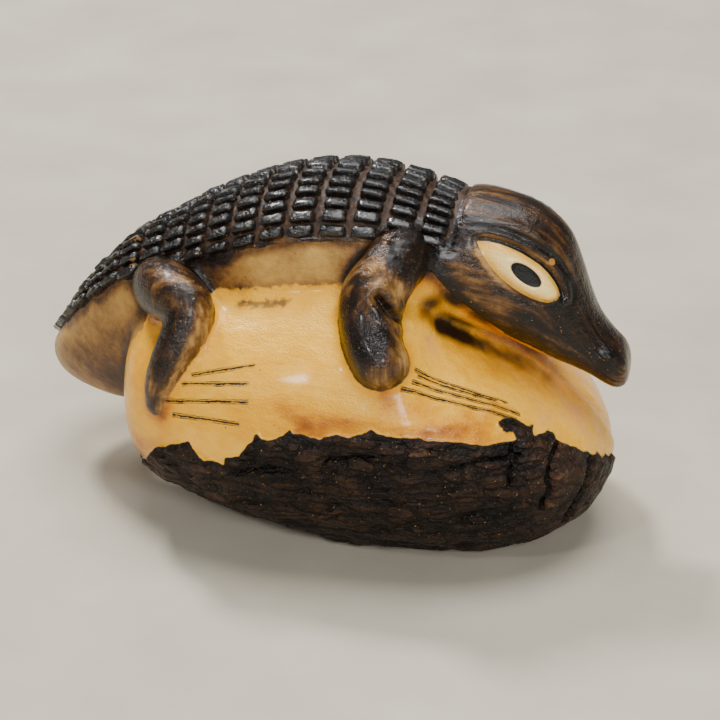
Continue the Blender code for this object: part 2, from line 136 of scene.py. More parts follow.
# Limbs of the right side, from the body to the foot: x, y, z, radius
FRONT_LEG = (
    (5.4, -4.2, 29.8, 2.1), (4.1, -6.9, 29.8, 2.6), (3.2, -8.7, 28.6, 2.8), (2.1, -10.1, 26.8, 2.95),
    (2.2, -11.5, 24.9, 2.7), (2.9, -12.8, 23.3, 2.6), (3.6, -13.5, 22.4, 2.55),
)
HIND_LEG = (
    (-19.3, -4.4, 24.2, 2.5), (-17.9, -7.0, 24.6, 2.8), (-16.3, -8.8, 24.8, 2.65), (-14.8, -9.9, 24.4, 2.3),
    (-14.85, -10.8, 22.8, 2.15), (-15.6, -11.8, 21.0, 1.95), (-16.5, -12.6, 19.1, 1.62),
    (-17.2, -12.9, 17.2, 1.25), (-17.4, -12.8, 15.8, 1.0),
)
FAR_LEG_DROP = (1.0, 2.4)  # the left legs are carved lower on the nut than the right ones
NOSTRIL = (22.5, -2.3, 19.6, 0.7)
BROW = (
    (9.85, -4.4, 32.0, 0.35), (12.5, -3.6, 32.2, 0.5), (15.45, -3.1, 31.3, 0.55), (17.15, -2.75, 30.0, 0.5),
    (17.95, -2.6, 28.95, 0.45), (18.6, -2.5, 27.6, 0.4), (18.8, -2.85, 25.7, 0.25),
)

# The right eye: its middle, how far its long axis slopes down towards the snout, how far it leans back to
# look up, and how far it turns to look ahead. Its outline is measured along the long axis: place, upper lid,
# lower lid.
EYE = (14.7, -4.6, 28.3)
EYE_SLOPE = 36.0
EYE_LEAN = 20.0
EYE_TURN = 12.0
EYE_LIDS = (
    (-5.0, -0.15, -0.25), (-4.2, 0.38, -0.76), (-3.1, 0.88, -1.22), (-2.1, 1.14, -1.52), (-1.1, 1.34, -1.67),
    (0.0, 1.43, -1.74), (1.0, 1.45, -1.70), (2.0, 1.30, -1.54), (2.9, 1.04, -1.30), (3.6, 0.72, -0.98),
    (4.15, 0.30, -0.30),
)
PUPIL = (0.4, -0.04, 1.62, 0.72)  # middle and half axes, in the eye's plane
EYE_SOCKET = 2.5  # how far behind the eye's plane its carving still reaches

# The scutes, in groups from the neck to the tail: rows, columns, first and last distance between rows
SCUTE_GROUPS = ((9, 12, 3.15, 2.6), (3, 10, 2.65, 2.65), (3, 8, 2.6, 2.5), (12, 4, 2.4, 1.6))
FIRST_ROW = 0.95
ROW_GAP = 0.46  # the groove that the file left between two rows
SCUTE_HEIGHT = 0.8
SCUTE_ROOT = 0.35  # how deep a scute goes into the back

# Lowest edge of the stain on the neck and jaw: x, z
JAW_EDGE = (
    (3.5, 31.5), (5.5, 29.5), (7.0, 28.4), (8.7, 26.2), (10.6, 24.6), (12.3, 23.1), (13.9, 21.7),
    (16.4, 20.4), (18.1, 19.0), (21.7, 17.1), (24.5, 15.8),
)

# How the stain was rubbed, where the seed is amber or pale, and where shade is painted: darker tone and amber
# under the jaw, along the front leg's crease, low on the tail's side, and more amber at the nut's left end.
# On the right
# side and, mirrored, on the left: x, y, z, radius, tone from -1 for black to 1 for rubbed bare, amber (below
# 0 where it is pale)
TONE_AND_SHADE_SPOTS = (
    (6.8, -6.8, 25.2, 1.3, -0.8, 0.2), (7.7, -6.0, 23.1, 1.0, -1.1, 0.2), (8.6, -5.0, 22.4, 1.1, -1.1, 0.2),
    (9.7, -4.2, 21.5, 1.2, -1.0, 0.2), (11.0, -3.4, 20.4, 1.4, -0.7, 0.15),
    (12.8, -2.4, 19.3, 1.7, -0.6, 0.1), (14.8, -1.6, 18.0, 1.9, -0.55, 0.1),
    (17.2, -1.0, 16.2, 2.0, -0.45, 0.1), (9.4, -6.0, 21.0, 1.5, -0.1, 0.25),
    (6.6, -7.4, 24.6, 1.1, -0.1, 0.5), (8.8, -7.4, 22.4, 1.4, -0.1, 0.45), (12.4, -5.8, 19.2, 1.6, 0, 0.35),
    (16.2, -4.6, 16.6, 2.0, 0, 0.2), (3.4, -11.3, 29.2, 1.5, 0.8, 0), (4.8, -10.4, 28.4, 1.2, 0.7, 0),
    (2.0, -10.2, 30.3, 1.2, 0.45, 0.1), (5.3, -14.0, 23.2, 1.0, 0.7, 0), (14.5, -6.5, 17.5, 4.0, 0, -0.3),
    (20.0, -4.0, 14.0, 3.6, 0, -0.35), (7.6, -8.3, 22.4, 2.0, -0.2, -0.3), (22.6, -3.0, 19.6, 0.9, -0.9, 0),
    (4.2, -12.2, 27.0, 0.7, -0.7, 0), (5.3, -6.8, 32.3, 2.0, -0.7, 0), (6.6, -6.9, 29.5, 1.1, -0.6, 0),
    (3.0, -14.6, 24.6, 1.7, -0.75, 0), (3.9, -15.6, 21.0, 1.5, 0.75, 0.2), (0, -11.0, 26.4, 1.0, 0.3, 0.1),
    (20.0, -8.6, 9.6, 4.0, 0.5, 0), (-18.5, -9.0, 7.0, 4.0, 0.4, 0), (7.8, -6.0, 31.6, 1.8, -0.6, 0),
    (9.3, -6.3, 29.0, 1.6, 0.45, 0), (10.6, -6.1, 27.0, 1.8, 0.4, 0), (12.6, -5.9, 25.0, 1.8, 0.35, 0.1),
    (15.4, -5.2, 23.6, 1.6, 0.1, 0.2), (9.0, -6.1, 25.9, 1.0, -0.6, 0.2),
    (11.4, -5.6, 24.2, 0.9, -0.35, 0.3), (19.9, -1.6, 25.0, 2.6, -0.25, 0),
    (22.4, -2.4, 19.5, 2.6, -0.35, 0), (24.0, -1.0, 19.4, 1.2, -0.5, 0), (12.0, -1.5, 33.0, 2.6, 0.15, 0.2),
    (18.8, -4.0, 26.2, 1.1, -0.6, 0), (-16.5, -9.9, 27.0, 1.8, 0.25, 0.2), (-18.4, -8.8, 24.6, 1.4, -0.5, 0),
    (-13.9, -11.4, 26.4, 1.0, -0.4, 0), (-16.9, -13.9, 18.2, 1.3, 0.2, 0.5),
    (-12.6, -7.2, 27.2, 1.9, -0.8, 0), (-10.4, -7.8, 25.6, 1.2, -0.4, 0), (-8.6, -7.6, 27.6, 2.6, 0.15, 0),
    (-3.6, -7.6, 29.0, 2.2, 0.2, 0), (0.9, -7.9, 28.6, 1.5, -0.2, 0), (0.8, -7.3, 31.3, 0.9, 0.9, 0),
    (-10.0, -8.3, 24.5, 1.0, 0, 0.3), (-19.2, -6.0, 21.7, 2.2, -0.25, 0.5),
    (-25.0, -2.4, 15.0, 3.4, -0.45, 0.3), (-21.6, -4.6, 17.0, 3.0, -0.3, 0.3),
    (-23.0, -3.6, 11.6, 2.6, -0.7, 0.2), (4.6, -15.8, 19.4, 1.2, 0, 0.9), (-4.0, -16.2, 16.6, 3.0, 0, 0.35),
    (-9.0, -15.7, 16.6, 2.4, 0, 0.3), (6.0, -15.3, 18.2, 1.5, 0, 0.5), (8.4, -14.4, 17.4, 2.2, 0, 0.5),
    (11.2, -13.5, 16.5, 2.2, 0, 0.35), (-19.5, -9.0, 16.0, 5.0, 0, 0.45), (-28.0, -0.6, 12.5, 3.5, -0.5, 0),
    (-16.6, -13.6, 15.2, 1.6, 0, 0.6),
)

# Where the front leg bends, a stroke of stain that missed the flank, and the chips in the scutes
CREASE = ((5.4, -10.2, 25.0), (4.7, -11.7, 26.0), (4.0, -12.4, 27.0), (3.2, -12.5, 28.1))
SMEAR = ((-10.4, -8.4, 24.4), (-8.3, -8.8, 24.7), (-6.2, -8.7, 25.1))
CHIPS = ((-21.7, -1.8, 27.0), (-23.9, -1.6, 25.4), (-22.0, -3.4, 25.4), (-22.5, -1.2, 26.7))
CHIP_RADIUS = 0.42
# In the eye's plane: a black wedge in front of the eye, and a bare spot on the lid with its radius
EYE_WEDGE = ((4.1, 0.1), (4.7, -0.2), (5.9, -0.4), (5.1, -1.0), (3.7, -1.4), (3.9, -0.6))
LID_SPOT = (1.63, 2.24, 0.33)

# Scratched claws: the way out of the nut there, then each claw's start and end
FRONT_CLAWS = (
    (0.25, -0.55, 0.80),
    ((6.5, -12.4, 21.4), (14.3, -8.8, 17.1)),
    ((6.8, -12.5, 20.9), (13.2, -9.4, 17.5)),
    ((6.4, -13.2, 20.6), (15.5, -8.9, 16.2)),
    ((5.6, -14.1, 20.2), (15.3, -9.7, 16.0)),
)
HIND_CLAWS = (
    (-0.10, -0.85, 0.50),
    ((-13.9, -13.1, 19.1), (-7.8, -13.6, 20.9)),
    ((-14.8, -13.6, 18.4), (-8.2, -14.4, 19.4)),
    ((-16.4, -14.1, 16.8), (-8.1, -15.2, 18.0)),
    ((-15.5, -13.8, 15.3), (-8.8, -15.8, 16.0)),
)


def knots_of(rows):
    """A place for each row of a table along the curve through them, from the distances between them."""
    steps = lengths(np.diff(rows[:, :3], axis=0))
    return np.concatenate([[0], np.cumsum(steps)])


def read_at(rows, places):
    """A cubic curve through the rows, whose slope at each row is that between its neighbours."""
    knots = knots_of(rows)
    slopes = np.gradient(rows, knots, axis=0)
    i = np.clip(np.searchsorted(knots, places, side="right") - 1, 0, len(knots) - 2)
    width = (knots[i + 1] - knots[i])[:, None]
    t = (places - knots[i])[:, None] / width
    return (
        (1 + 2 * t) * (1 - t) ** 2 * rows[i]
        + t * (1 - t) ** 2 * width * slopes[i]
        + t**2 * (3 - 2 * t) * rows[i + 1]
        + t**2 * (t - 1) * width * slopes[i + 1]
    )


def along(table, count):
    rows = np.array(table, float)
    return read_at(rows, np.linspace(0, knots_of(rows)[-1], count))


def rounded(value, squareness):
    """A sine or cosine pushed out towards a square, as in a superellipse."""
    return np.sign(value) * np.abs(value) ** (2 / np.maximum(squareness, 1.0))


def step(value, low, high):
    """0 below low and 1 above high, with a smooth rise between them."""
    t = np.clip((value - low) / (high - low), 0, 1)
    return t * t * (3 - 2 * t)


def bumps(points, size, seed):
    """Smooth random bumps from -1 to 1, about size mm across, the same on every run."""
    cells = points / size
    base = np.floor(cells).astype(np.int64)
    part = cells - base
    part = part * part * (3 - 2 * part)
    total = np.zeros(len(points))
    for corner in np.ndindex(2, 2, 2):
        key = (base + corner) @ np.array((73856093, 19349663, 83492791)) + seed * 7919
        key = (key ^ (key >> 13)) * 1274126177 & 0x7FFFFFFF
        key = (key ^ (key >> 15)) * 1597334677 & 0x7FFFFFFF
        total += (key / 0x3FFFFFFF - 1) * np.prod(np.where(corner, part, 1 - part), axis=1)
    return total


def lengths(vectors):
    return np.linalg.norm(vectors, axis=1)


def off_line(points, line):
    """Off a line of straight pieces, along it, and ahead of it in x, in radii where it has them.

    A row of the line may end in a radius. Then the first value is measured from the skin of that radius.
    """
    line = np.array(line, float)
    width, start = points.shape[1], 0.0
    best, place, ahead = np.full(len(points), 1e9), np.zeros(len(points)), np.zeros(len(points))
    for a, b in zip(line[:-1], line[1:]):
        run = (b - a)[:width]
        length = np.linalg.norm(run)
        share = np.clip((points - a[:width]) @ run / length**2, 0, 1)
        radius = a[width:].sum() + share * (b - a)[width:].sum()
        away = points - a[:width] - share[:, None] * run
        off = lengths(away) - radius
        place = np.where(off < best, start + share * length, place)
        ahead = np.where(off < best, away[:, 0] / np.maximum(radius, 1e-9), ahead)
        best = np.minimum(best, off)
        start += length
    return best, place, ahead


def depth_in(points, outline):
    """How far inside a closed flat outline each point is, and below zero outside it."""
    outline = np.array(outline, float)
    gap = off_line(points, np.vstack([outline, outline[:1]]))[0]
    inside = np.zeros(len(points), bool)
    for (ax, ay), (bx, by) in zip(outline, np.roll(outline, -1, axis=0)):
        crosses = (ay > points[:, 1]) != (by > points[:, 1])
        reach = ax + (points[:, 1] - ay) * (bx - ax) / ((by - ay) or 1e-9)
        inside ^= crosses & (points[:, 0] < reach)
    return np.where(inside, gap, -gap)


# ---------------------------------------------------------------- the form


def in_scene(name, data):
    """A new object that holds the data, in the scene."""
    thing = bpy.data.objects.new(name, data)
    bpy.context.scene.collection.objects.link(thing)
    return thing


def make_object(name, points, faces):
    mesh = bpy.data.meshes.new(name)
    mesh.from_pydata([tuple(p * MM) for p in points], [], faces)
    mesh.update()
    return in_scene(name, mesh)


def loft(name, rings):
    """A closed skin over rings of equally many points, with a flat cap at each end."""
    count, around = rings.shape[:2]
    faces = [tuple(range(around))[::-1]]
    for r in range(count - 1):
        for k in range(around):
            a, b = r * around + k, r * around + (k + 1) % around
            faces.append((a, b, b + around, a + around))
    faces.append(tuple(range((count - 1) * around, count * around)))
    return make_object(name, rings.reshape(-1, 3), faces)


def once_round(count):
    return np.linspace(0, 2 * math.pi, count, endpoint=False)


def make_nut():
    rings = []
    turn = once_round(96)
    across, upward = np.cos(turn), np.sin(turn)
    for x, low, high, half, widest, squareness in along(NUT, 80):
        y = half * rounded(across, NUT_SQUARENESS)
        top = widest + (high - widest) * rounded(upward, squareness)
        bottom = widest + (widest - low) * rounded(upward, NUT_SQUARENESS)
        rings.append(np.stack([np.full_like(turn, x), y, np.where(upward > 0, top, bottom)], axis=1))
    return loft("nut", np.array(rings))


def off_nut(points):
    """How far out points are from the middle line of the nut: 1 is its skin."""
    x, y, z = points.T
    rows = np.array(NUT)
    low, high, half, widest, squareness = (np.interp(x, rows[:, 0], rows[:, k]) for k in range(1, 6))
    height = np.where(z > widest, high - widest, widest - low)
    power = np.where(z > widest, squareness, NUT_SQUARENESS)
    return (np.abs(y) / half) ** NUT_SQUARENESS + (np.abs(z - widest) / height) ** power


def spine_length():
    return knots_of(np.array(SPINE, float))[-1]


def spine_frames(places):
    """Top, middle, sideways half width and half angle of the scutes for sections along the spine."""
    spine = np.array(SPINE, float)
    rows, ahead, behind = (read_at(spine, places + off) for off in (0.0, 0.2, -0.2))
    top, bottom, half, cover = rows[:, 0:3], rows[:, 3:6], rows[:, 6], rows[:, 7]
    forward = (ahead[:, 0:3] + ahead[:, 3:6] - behind[:, 0:3] - behind[:, 3:6]) / 2
    middle = (top + bottom) / 2
    side = np.cross(forward, top - middle)
    side /= lengths(side)[:, None]
    return top, middle, side * half[:, None], np.radians(cover)


def on_body(places, turns, lift):
    """Points on the skin of the body: turn 0 is the line of the spine. Lift is the height above the skin."""
    top, middle, side, _ = spine_frames(places)
    upward = top - middle
    height = lengths(upward)[:, None]
    width = lengths(side)[:, None]
    up_part = rounded(np.cos(turns), BODY_SQUARENESS)[:, None]
    side_part = rounded(np.sin(turns), BODY_SQUARENESS)[:, None]
    skin = middle + up_part * upward + side_part * side
    normal = up_part * upward / height**2 + side_part * side / width**2
    normal /= lengths(normal)[:, None]
    return skin + normal * lift


def nearest_section(points, starts, rises, least, most):
    """The section that each point is nearest to, and the share of the rise that the point is up it."""
    best = np.full(len(points), 1e9)
    nearest, share = np.zeros(len(points), int), np.zeros(len(points))
    for k, (start, rise) in enumerate(zip(starts, rises)):
        up = (points - start) @ rise / (rise @ rise)
        gap = lengths(points - start - np.clip(up, least, most)[:, None] * rise)
        nearest = np.where(gap < best, k, nearest)
        share = np.where(gap < best, up, share)
        best = np.minimum(best, gap)
    return nearest, share


def body_places(points):
    """Where points are on the body: mm along the spine, turn round it, and 1 on its skin, less inside.

    The half angle that the scutes cover and the half width of the body there come with them.
    """
    places = np.linspace(0, spine_length(), 260)
    top, middle, side, cover = spine_frames(places)
    nearest, _ = nearest_section(points, middle, top - middle, -0.7, 0.7)
    away = points - middle[nearest]
    up_share, side_share = (
        np.einsum("ij,ij->i", away, way[nearest]) / np.einsum("ij,ij->i", way, way)[nearest]
        for way in (top - middle, side)
    )
    power = BODY_SQUARENESS
    turn = np.arctan2(rounded(side_share, 4 / power), rounded(up_share, 4 / power))
    out = (np.abs(up_share) ** power + np.abs(side_share) ** power) ** (1 / power)
    return places[nearest], turn, out, cover[nearest], lengths(side)[nearest]


def make_body():
    places = np.linspace(0, spine_length(), 120)
    turn = once_round(64)
    rings = [on_body(np.full_like(turn, place), turn, 0.0) for place in places]
    return loft("body_and_tail", np.array(rings))


def make_head():
    rings = []
    turn = once_round(64)
    for top_x, top_z, low_x, low_z, half, narrowing, squareness in along(HEAD, 80):
        upward = (rounded(np.sin(turn), squareness) + 1) / 2
        y = half * (1 - narrowing * upward) * rounded(np.cos(turn), squareness)
        x = low_x + (top_x - low_x) * upward
        z = low_z + (top_z - low_z) * upward
        rings.append(np.stack([x, y, z], axis=1))
    return loft("head", np.array(rings))


def head_places(points):
    """Where points are on the head: mm along it from the neck, and the share of the way from jaw to crown."""
    rows = along(HEAD, 120)
    crown, jaw = rows[:, [0, 1]], rows[:, [2, 3]]
    nearest, share = nearest_section(points[:, [0, 2]], jaw, crown - jaw, 0, 1)
    return knots_of((crown + jaw) / 2)[nearest], share


def tube(name, table):
    """A limb: a curve with a round bevel whose radius follows the table, ending in a half-ball."""
    curve = bpy.data.curves.new(name, "CURVE")
    curve.dimensions = "3D"
    curve.bevel_depth = MM
    curve.bevel_resolution = 8
    curve.use_fill_caps = True
    rows = along(table, 32)
    last = rows[-1]
    heading = last[:3] - rows[-2, :3]
    heading /= np.linalg.norm(heading)
    for angle in (20, 40, 55, 70, 80, 87):
        radius = last[3] * math.cos(math.radians(angle))
        beyond = last[:3] + heading * last[3] * math.sin(math.radians(angle))
        rows = np.vstack([rows, [*beyond, radius]])
    spline = curve.splines.new("POLY")
    spline.points.add(len(rows) - 1)
    for point, (x, y, z, radius) in zip(spline.points, rows):
        point.co = (x * MM, y * MM, z * MM, 1)
        point.radius = radius
    return in_scene(name, curve)


def mirrored(table, drop=0.0):
    return [(x, -y, z - drop, radius) for x, y, z, radius in table]


def ball(name, row):
    mesh = bpy.data.meshes.new(name)
    shape = bmesh.new()
    bmesh.ops.create_icosphere(shape, subdivisions=4, radius=row[3] * MM)
    bmesh.ops.translate(shape, verts=shape.verts, vec=[value * MM for value in row[:3]])
    shape.to_mesh(mesh)
    shape.free()
    return in_scene(name, mesh)


def plain_mesh(thing):
    """The object's evaluated shape as a new mesh."""
    graph = bpy.context.evaluated_depsgraph_get()
    return bpy.data.meshes.new_from_object(thing.evaluated_get(graph))


def one_skin():
    """All the forms under one skin, softened where they meet, as filing and polishing leaves them."""
    forms = [make_nut(), make_body(), make_head()]
    names, tables = ("front_leg", "hind_leg", "brow"), (FRONT_LEG, HIND_LEG, BROW)
    for name, table, drop in zip(names, tables, (*FAR_LEG_DROP, 0.0)):
        forms += [tube(name + "_right", table), tube(name + "_left", mirrored(table, drop))]
    forms += [ball("nostril_right", NOSTRIL), ball("nostril_left", mirrored([NOSTRIL])[0])]
    bpy.context.view_layer.update()
    shape = bmesh.new()
    for form in forms:
        mesh = plain_mesh(form)
        shape.from_mesh(mesh)
        bpy.data.meshes.remove(mesh)
        bpy.data.objects.remove(form)
    mesh = bpy.data.meshes.new("caiman")
    shape.to_mesh(mesh)
    shape.free()
    skin = in_scene("caiman", mesh)
    weld = skin.modifiers.new("caps", "WELD")
    weld.merge_threshold = 0.00001
    remesh = skin.modifiers.new("one_skin", "REMESH")
    remesh.mode = "VOXEL"
    remesh.voxel_size = VOXEL * MM
    soften = skin.modifiers.new("soften", "SMOOTH")
    soften.iterations = SMOOTHING
    soften.factor = 0.5
    skin.data = plain_mesh(skin)
    skin.modifiers.clear()
    return skin


def vectors(rows, field):
    values = np.empty(len(rows) * 3, np.float32)
    rows.foreach_get(field, values)
    return values.reshape(-1, 3).astype(float)


def points_of(mesh):
    return vectors(mesh.vertices, "co") / MM


def set_points(mesh, points):
    mesh.vertices.foreach_set("co", (points * MM).astype(np.float32).ravel())
    mesh.update()


def refine(mesh, wanted):
    """Cuts each face whose corners are all wanted into four."""
    shape = bmesh.new()
    shape.from_mesh(mesh)
    shape.verts.ensure_lookup_table()
    edges = {e for f in shape.faces if all(wanted[v.index] for v in f.verts) for e in f.edges}
    bmesh.ops.subdivide_edges(shape, edges=list(edges), cuts=1, use_grid_fill=True, smooth=0.6)
    shape.to_mesh(mesh)
    shape.free()
    mesh.update()


# ---------------------------------------------------------------- the carved detail


def bell(value, middle, width):
    """1 in the middle, and 0 by about twice the width on either side."""
    return np.exp(-(((value - middle) / width) ** 2))


def on_right(points, drop=0.0):
    """The same places on the right side, where the tables are. The left side is carved lower by drop."""
    x, y, z = points.T
    return np.stack([x, -np.abs(y), z + np.where(y > 0, drop, 0.0)], axis=1)


def eye_axes():
    turn = Matrix.Rotation(math.radians(EYE_TURN), 3, "Z")
    lean = Matrix.Rotation(math.radians(-EYE_LEAN), 3, "X")
    slope = Matrix.Rotation(math.radians(EYE_SLOPE), 3, "Y")
    return np.array(turn @ lean @ slope)


def eye_places(points):
    """Along the eye, out of it and up across it, in mm from its middle, for either eye."""
    local = (on_right(points) - EYE) @ eye_axes()
    return local[:, 0], -local[:, 1], local[:, 2]


def eye_outline():
    lids = np.array(EYE_LIDS)
    return np.vstack([lids[:, [0, 1]], lids[::-1, [0, 2]]])


def leg_places(points, table, drop):
    """Off the skin of a leg, along it, and ahead of its middle line in radii, for the legs of both sides."""
    return off_line(on_right(points, drop), along(table, 40))


def off_crease(points):
    return off_line(on_right(points, FAR_LEG_DROP[0]), CREASE)[0]


def husk_depth(points):
    """How far below the rim of the husk each point is. The left side's rim wanders in its own way."""
    flat = points[:, [0, 2]]
    own_way = np.where(points[:, 1] > 0, 1 - step(np.abs(points[:, 0]), 12, 18), 0.0)
    wander = np.stack([bumps(points, 5.0, 3) * 1.6 - 2.0, bumps(points, 2.2, 4) * 0.9], axis=1)
    flat = flat + own_way[:, None] * wander
    outline = list(HUSK_RIM) + [(26.0, -6.0), (-26.0, -6.0)]
    depth = depth_in(flat, outline) + 0.10 * bumps(points, 0.7, 5)
    depth -= 4.0 * step(points[:, 1], -1, 5) * step(points[:, 0], 14, 19)
    return np.where(off_nut(points) < 1.6, depth, FAR_OUT)


def claw_offsets(points, claws, drop):
    """Sideways distance from each of four claws, and from 1 beside the nearest one to 0 beyond its ends."""
    moved = on_right(points, drop)
    offsets, reaches = [], []
    outwards = np.array(claws[0])
    for start, end in np.array(claws[1:]):
        run = end - start
        length = np.linalg.norm(run)
        across = np.cross(run, outwards)
        share = (moved - start) @ run / length**2
        offsets.append((moved - start) @ (across / np.linalg.norm(across)))
        above = (moved - start - share[:, None] * run) @ outwards
        inside = np.minimum((0.5 - np.abs(share - 0.5)) * length, 2.5 - np.abs(above))
        reaches.append(np.clip(0.5 + inside / 0.5, 0, 1))
    offsets, reaches = np.array(offsets), np.array(reaches)
    nearest = np.abs(offsets).argmin(axis=0)
    return offsets, reaches[nearest, np.arange(len(points))]


def hollows(mesh, points, rounds):
    """How far each point lies below the average around it: above 0 in creases, below 0 on ridges."""
    ends = np.empty(len(mesh.edges) * 2, np.int32)
    mesh.edges.foreach_get("vertices", ends)
    a, b = ends.reshape(-1, 2).T
    count = np.bincount(a, minlength=len(points)) + np.bincount(b, minlength=len(points))
    soft = points.copy()
    for _ in range(rounds):
        for axis in range(3):
            near = np.bincount(a, soft[b, axis], len(points)) + np.bincount(b, soft[a, axis], len(points))
            soft[:, axis] = near / count
    return np.einsum("ij,ij->i", soft - points, vectors(mesh.vertex_normals, "vector"))


def note(mesh, **fields):
    """Keeps one, three or four values for each point of the mesh, which the finishes read."""
    kinds = {1: ("FLOAT", "value"), 3: ("FLOAT_VECTOR", "vector"), 4: ("FLOAT_COLOR", "color")}
    for name, values in fields.items():
        kind, key = kinds[values.size // len(values)]
        data = mesh.attributes.new(name, kind, "POINT").data
        data.foreach_set(key, values.astype(np.float32).ravel())


def shell_depth(points, place, turn, out, cover, half):
    """How far inside the edge of the scuted, stained back each point is."""
    edge = np.radians(np.interp(place, (24, 31), (3.0, 2.0)))
    ragged = (0.15 + 0.25 * step(place, 20, 26)) * bumps(points, 1.1, 31)
    depth = (cover + edge - np.abs(turn)) * half + ragged
    depth = np.where((out > 0.8) & (points[:, 0] < 9.0), depth, FAR_OUT)
    depth = np.where((out > 1.2) & (off_nut(points) < 1.15), FAR_OUT, depth)
    return np.where(points[:, 0] > 3.5, np.minimum(depth, points[:, 2] - 29.0), depth)


def husk_crust(points):
    """Height of the husk's crust, with wrinkles that run along the nut, and how far off its splits it is."""
    stretched = points * ALONG_NUT
    crust = 0.14 * bumps(stretched, 0.5, 12) + 0.16 * bumps(points, 2.6, 13)
    for height, size, seed in ((0.22, 1.3, 11), (0.16, 0.8, 16)):
        crust += height * (0.5 - np.abs(bumps(stretched, size, seed)) * 2)
    crust -= 0.30 * step(bumps(stretched, 1.4, 14), 0.45, 0.8)
    crust *= 1 - 0.55 * step(points[:, 0], 14, 19)
    ragged = points[:, [0, 2]] + 0.12 * bumps(points, 0.6, 15)[:, None]
    split = np.min([off_line(ragged, line)[0] for line in HUSK_SPLITS], axis=0)
    split = np.where(points[:, 1] < 0, np.minimum(split, -FAR_OUT), -FAR_OUT)
    return crust - 0.45 * (1 - step(split, 0.05, 0.35)), split


def wash_depth(points, out):
    """How far inside the soiled part of the flank and tail each point is."""
    x = points[:, 0]
    wash = (off_nut(points) - 1.03) * 7.0 - 0.5 - 9.0 * step(x, 3.0, 5.0)
    wash = np.where(x < 5.0, wash, FAR_OUT)
    wash = np.where(x < -20.0, np.maximum(wash, 1.6 - 4.0 * np.maximum(out - 1.0, 0.0)), wash)
    return np.maximum(wash, 0.3 - 0.6 * off_line(points, SMEAR)[0])


def tone_and_shade_spots(points):
    """Tone and amber where the table says that the stain was rubbed, the seed is amber or pale, and shade is
    painted.
    """
    tone, amber = np.zeros(len(points)), np.zeros(len(points))
    right = on_right(points)
    for *middle, radius, light, orange in TONE_AND_SHADE_SPOTS:
        near = np.exp(-(((right - middle) ** 2).sum(axis=1)) / radius**2)
        tone += light * near
        amber += orange * near
    return tone, amber


def measured(points):
    """Where points are on each part of the carving: off it, along it, or how far inside its edge."""
    at = SimpleNamespace()
    at.place, at.turn, at.out, cover, half = body_places(points)
    at.head_along, at.head_up = head_places(points)
    at.front_off, at.front_along, at.front_ahead = leg_places(points, FRONT_LEG, FAR_LEG_DROP[0])
    at.hind_off, at.hind_along, at.hind_ahead = leg_places(points, HIND_LEG, FAR_LEG_DROP[1])
    at.crease = off_crease(points)
    at.shell = shell_depth(points, at.place, at.turn, at.out, cover, half)
    legs = 1.5 * np.minimum(at.front_off, at.hind_off) - 0.7
    at.ground = np.min([at.shell - 0.4, legs, 1.5 * at.place - 1.2], axis=0)
    at.husk = husk_depth(points)
    at.crust, at.split = husk_crust(points)

    # In the plane of the eye
    at.eye_along, at.eye_out, at.eye_up = eye_places(points)
    flat = np.stack([at.eye_along, at.eye_up], axis=1)
    pupil = np.hypot((at.eye_along - PUPIL[0]) / PUPIL[2], (at.eye_up - PUPIL[1]) / PUPIL[3])
    bare = np.hypot(at.eye_along - LID_SPOT[0], at.eye_up - LID_SPOT[1])
    at.eye, at.pupil, at.wedge, at.bare = (
        np.where(at.eye_out > -EYE_SOCKET, depth, FAR_OUT)
        for depth in (
            depth_in(flat, eye_outline()),
            (1 - pupil) * PUPIL[3],
            depth_in(flat, EYE_WEDGE),
            LID_SPOT[2] - bare,
        )
    )
    return at


def grooves_and_ridges(points, at):
    """How far the skin moves out, or in where the knife cut it."""
    # A low ridge where the back's scutes end, the bent front leg's crease and ridge, and a groove at the neck
    moved = 0.16 * bell(at.shell, 0.25, 0.2) * step(points[:, 0], -19.0, -17.0)
    moved -= 0.75 * bell(at.crease, 0, 0.32)
    moved += 0.22 * bell(at.crease, 1.0, 0.45)
    moved -= 0.3 * bell(at.place, 0.7, 0.3) * step(at.shell, 0.0, 0.8)

    # The husk stands proud of the ivory, which swells at its edge and keeps a little of the knife's facets
    on_husk = step(at.husk, -0.1, 0.25)
    moved += on_husk * (HUSK_THICKNESS + at.crust)
    ivory = (1 - on_husk) * step(off_nut(points), 1.35, 1.15)
    moved += ivory * 0.14 * bell(at.husk, -1.1, 0.7) * step(points[:, 0], 1, 5)
    facets = 0.07 * bumps(points * (0.5, 1, 1), 3.0, 21) + 0.03 * bumps(points * (0.4, 1, 1), 1.2, 22)
    moved += ivory * facets

    # Eyelids: a groove round the eyeball, then folds up to the brow
    moved -= (0.05 + 0.19 * step(at.eye_up, -0.4, 0.6)) * bell(at.eye, -0.22, 0.2)
    moved += 0.16 * bell(at.eye, -0.75, 0.35) * step(at.eye_up, -0.6, 0.6)
    moved -= 0.12 * bell(at.eye, -1.25, 0.18) * step(at.eye_up, 0.0, 0.8)
    return moved


def domed_eyes(points, at):
    """How each point moves to make the domed eyeballs, with the pupils sunk into them."""
    ball_share = 1 - ((at.eye_along - 0.2) / 5.0) ** 2 - ((at.eye_up + 0.14) / 2.0) ** 2
    dome = 0.05 + 0.85 * np.sqrt(np.clip(ball_share, 0.0, 1.0))
    risen = step(at.eye, 0.0, 0.45) * (dome - at.eye_out) - 0.22 * step(at.pupil, -0.05, 0.12)
    ahead, sideways, upward = eye_axes() @ (0, -1, 0)
    outwards = np.tile((ahead, sideways, upward), (len(points), 1))
    outwards[points[:, 1] > 0, 1] = -sideways
    return outwards * risen[:, None]


def jaw_depth(points):
    """How far above the lowest edge of the neck's and the jaw's stain each point is."""
    x, _, z = points.T
    return np.where(x > 3.5, (z - np.interp(x, *np.array(JAW_EDGE).T)) * 0.75, FAR_OUT)


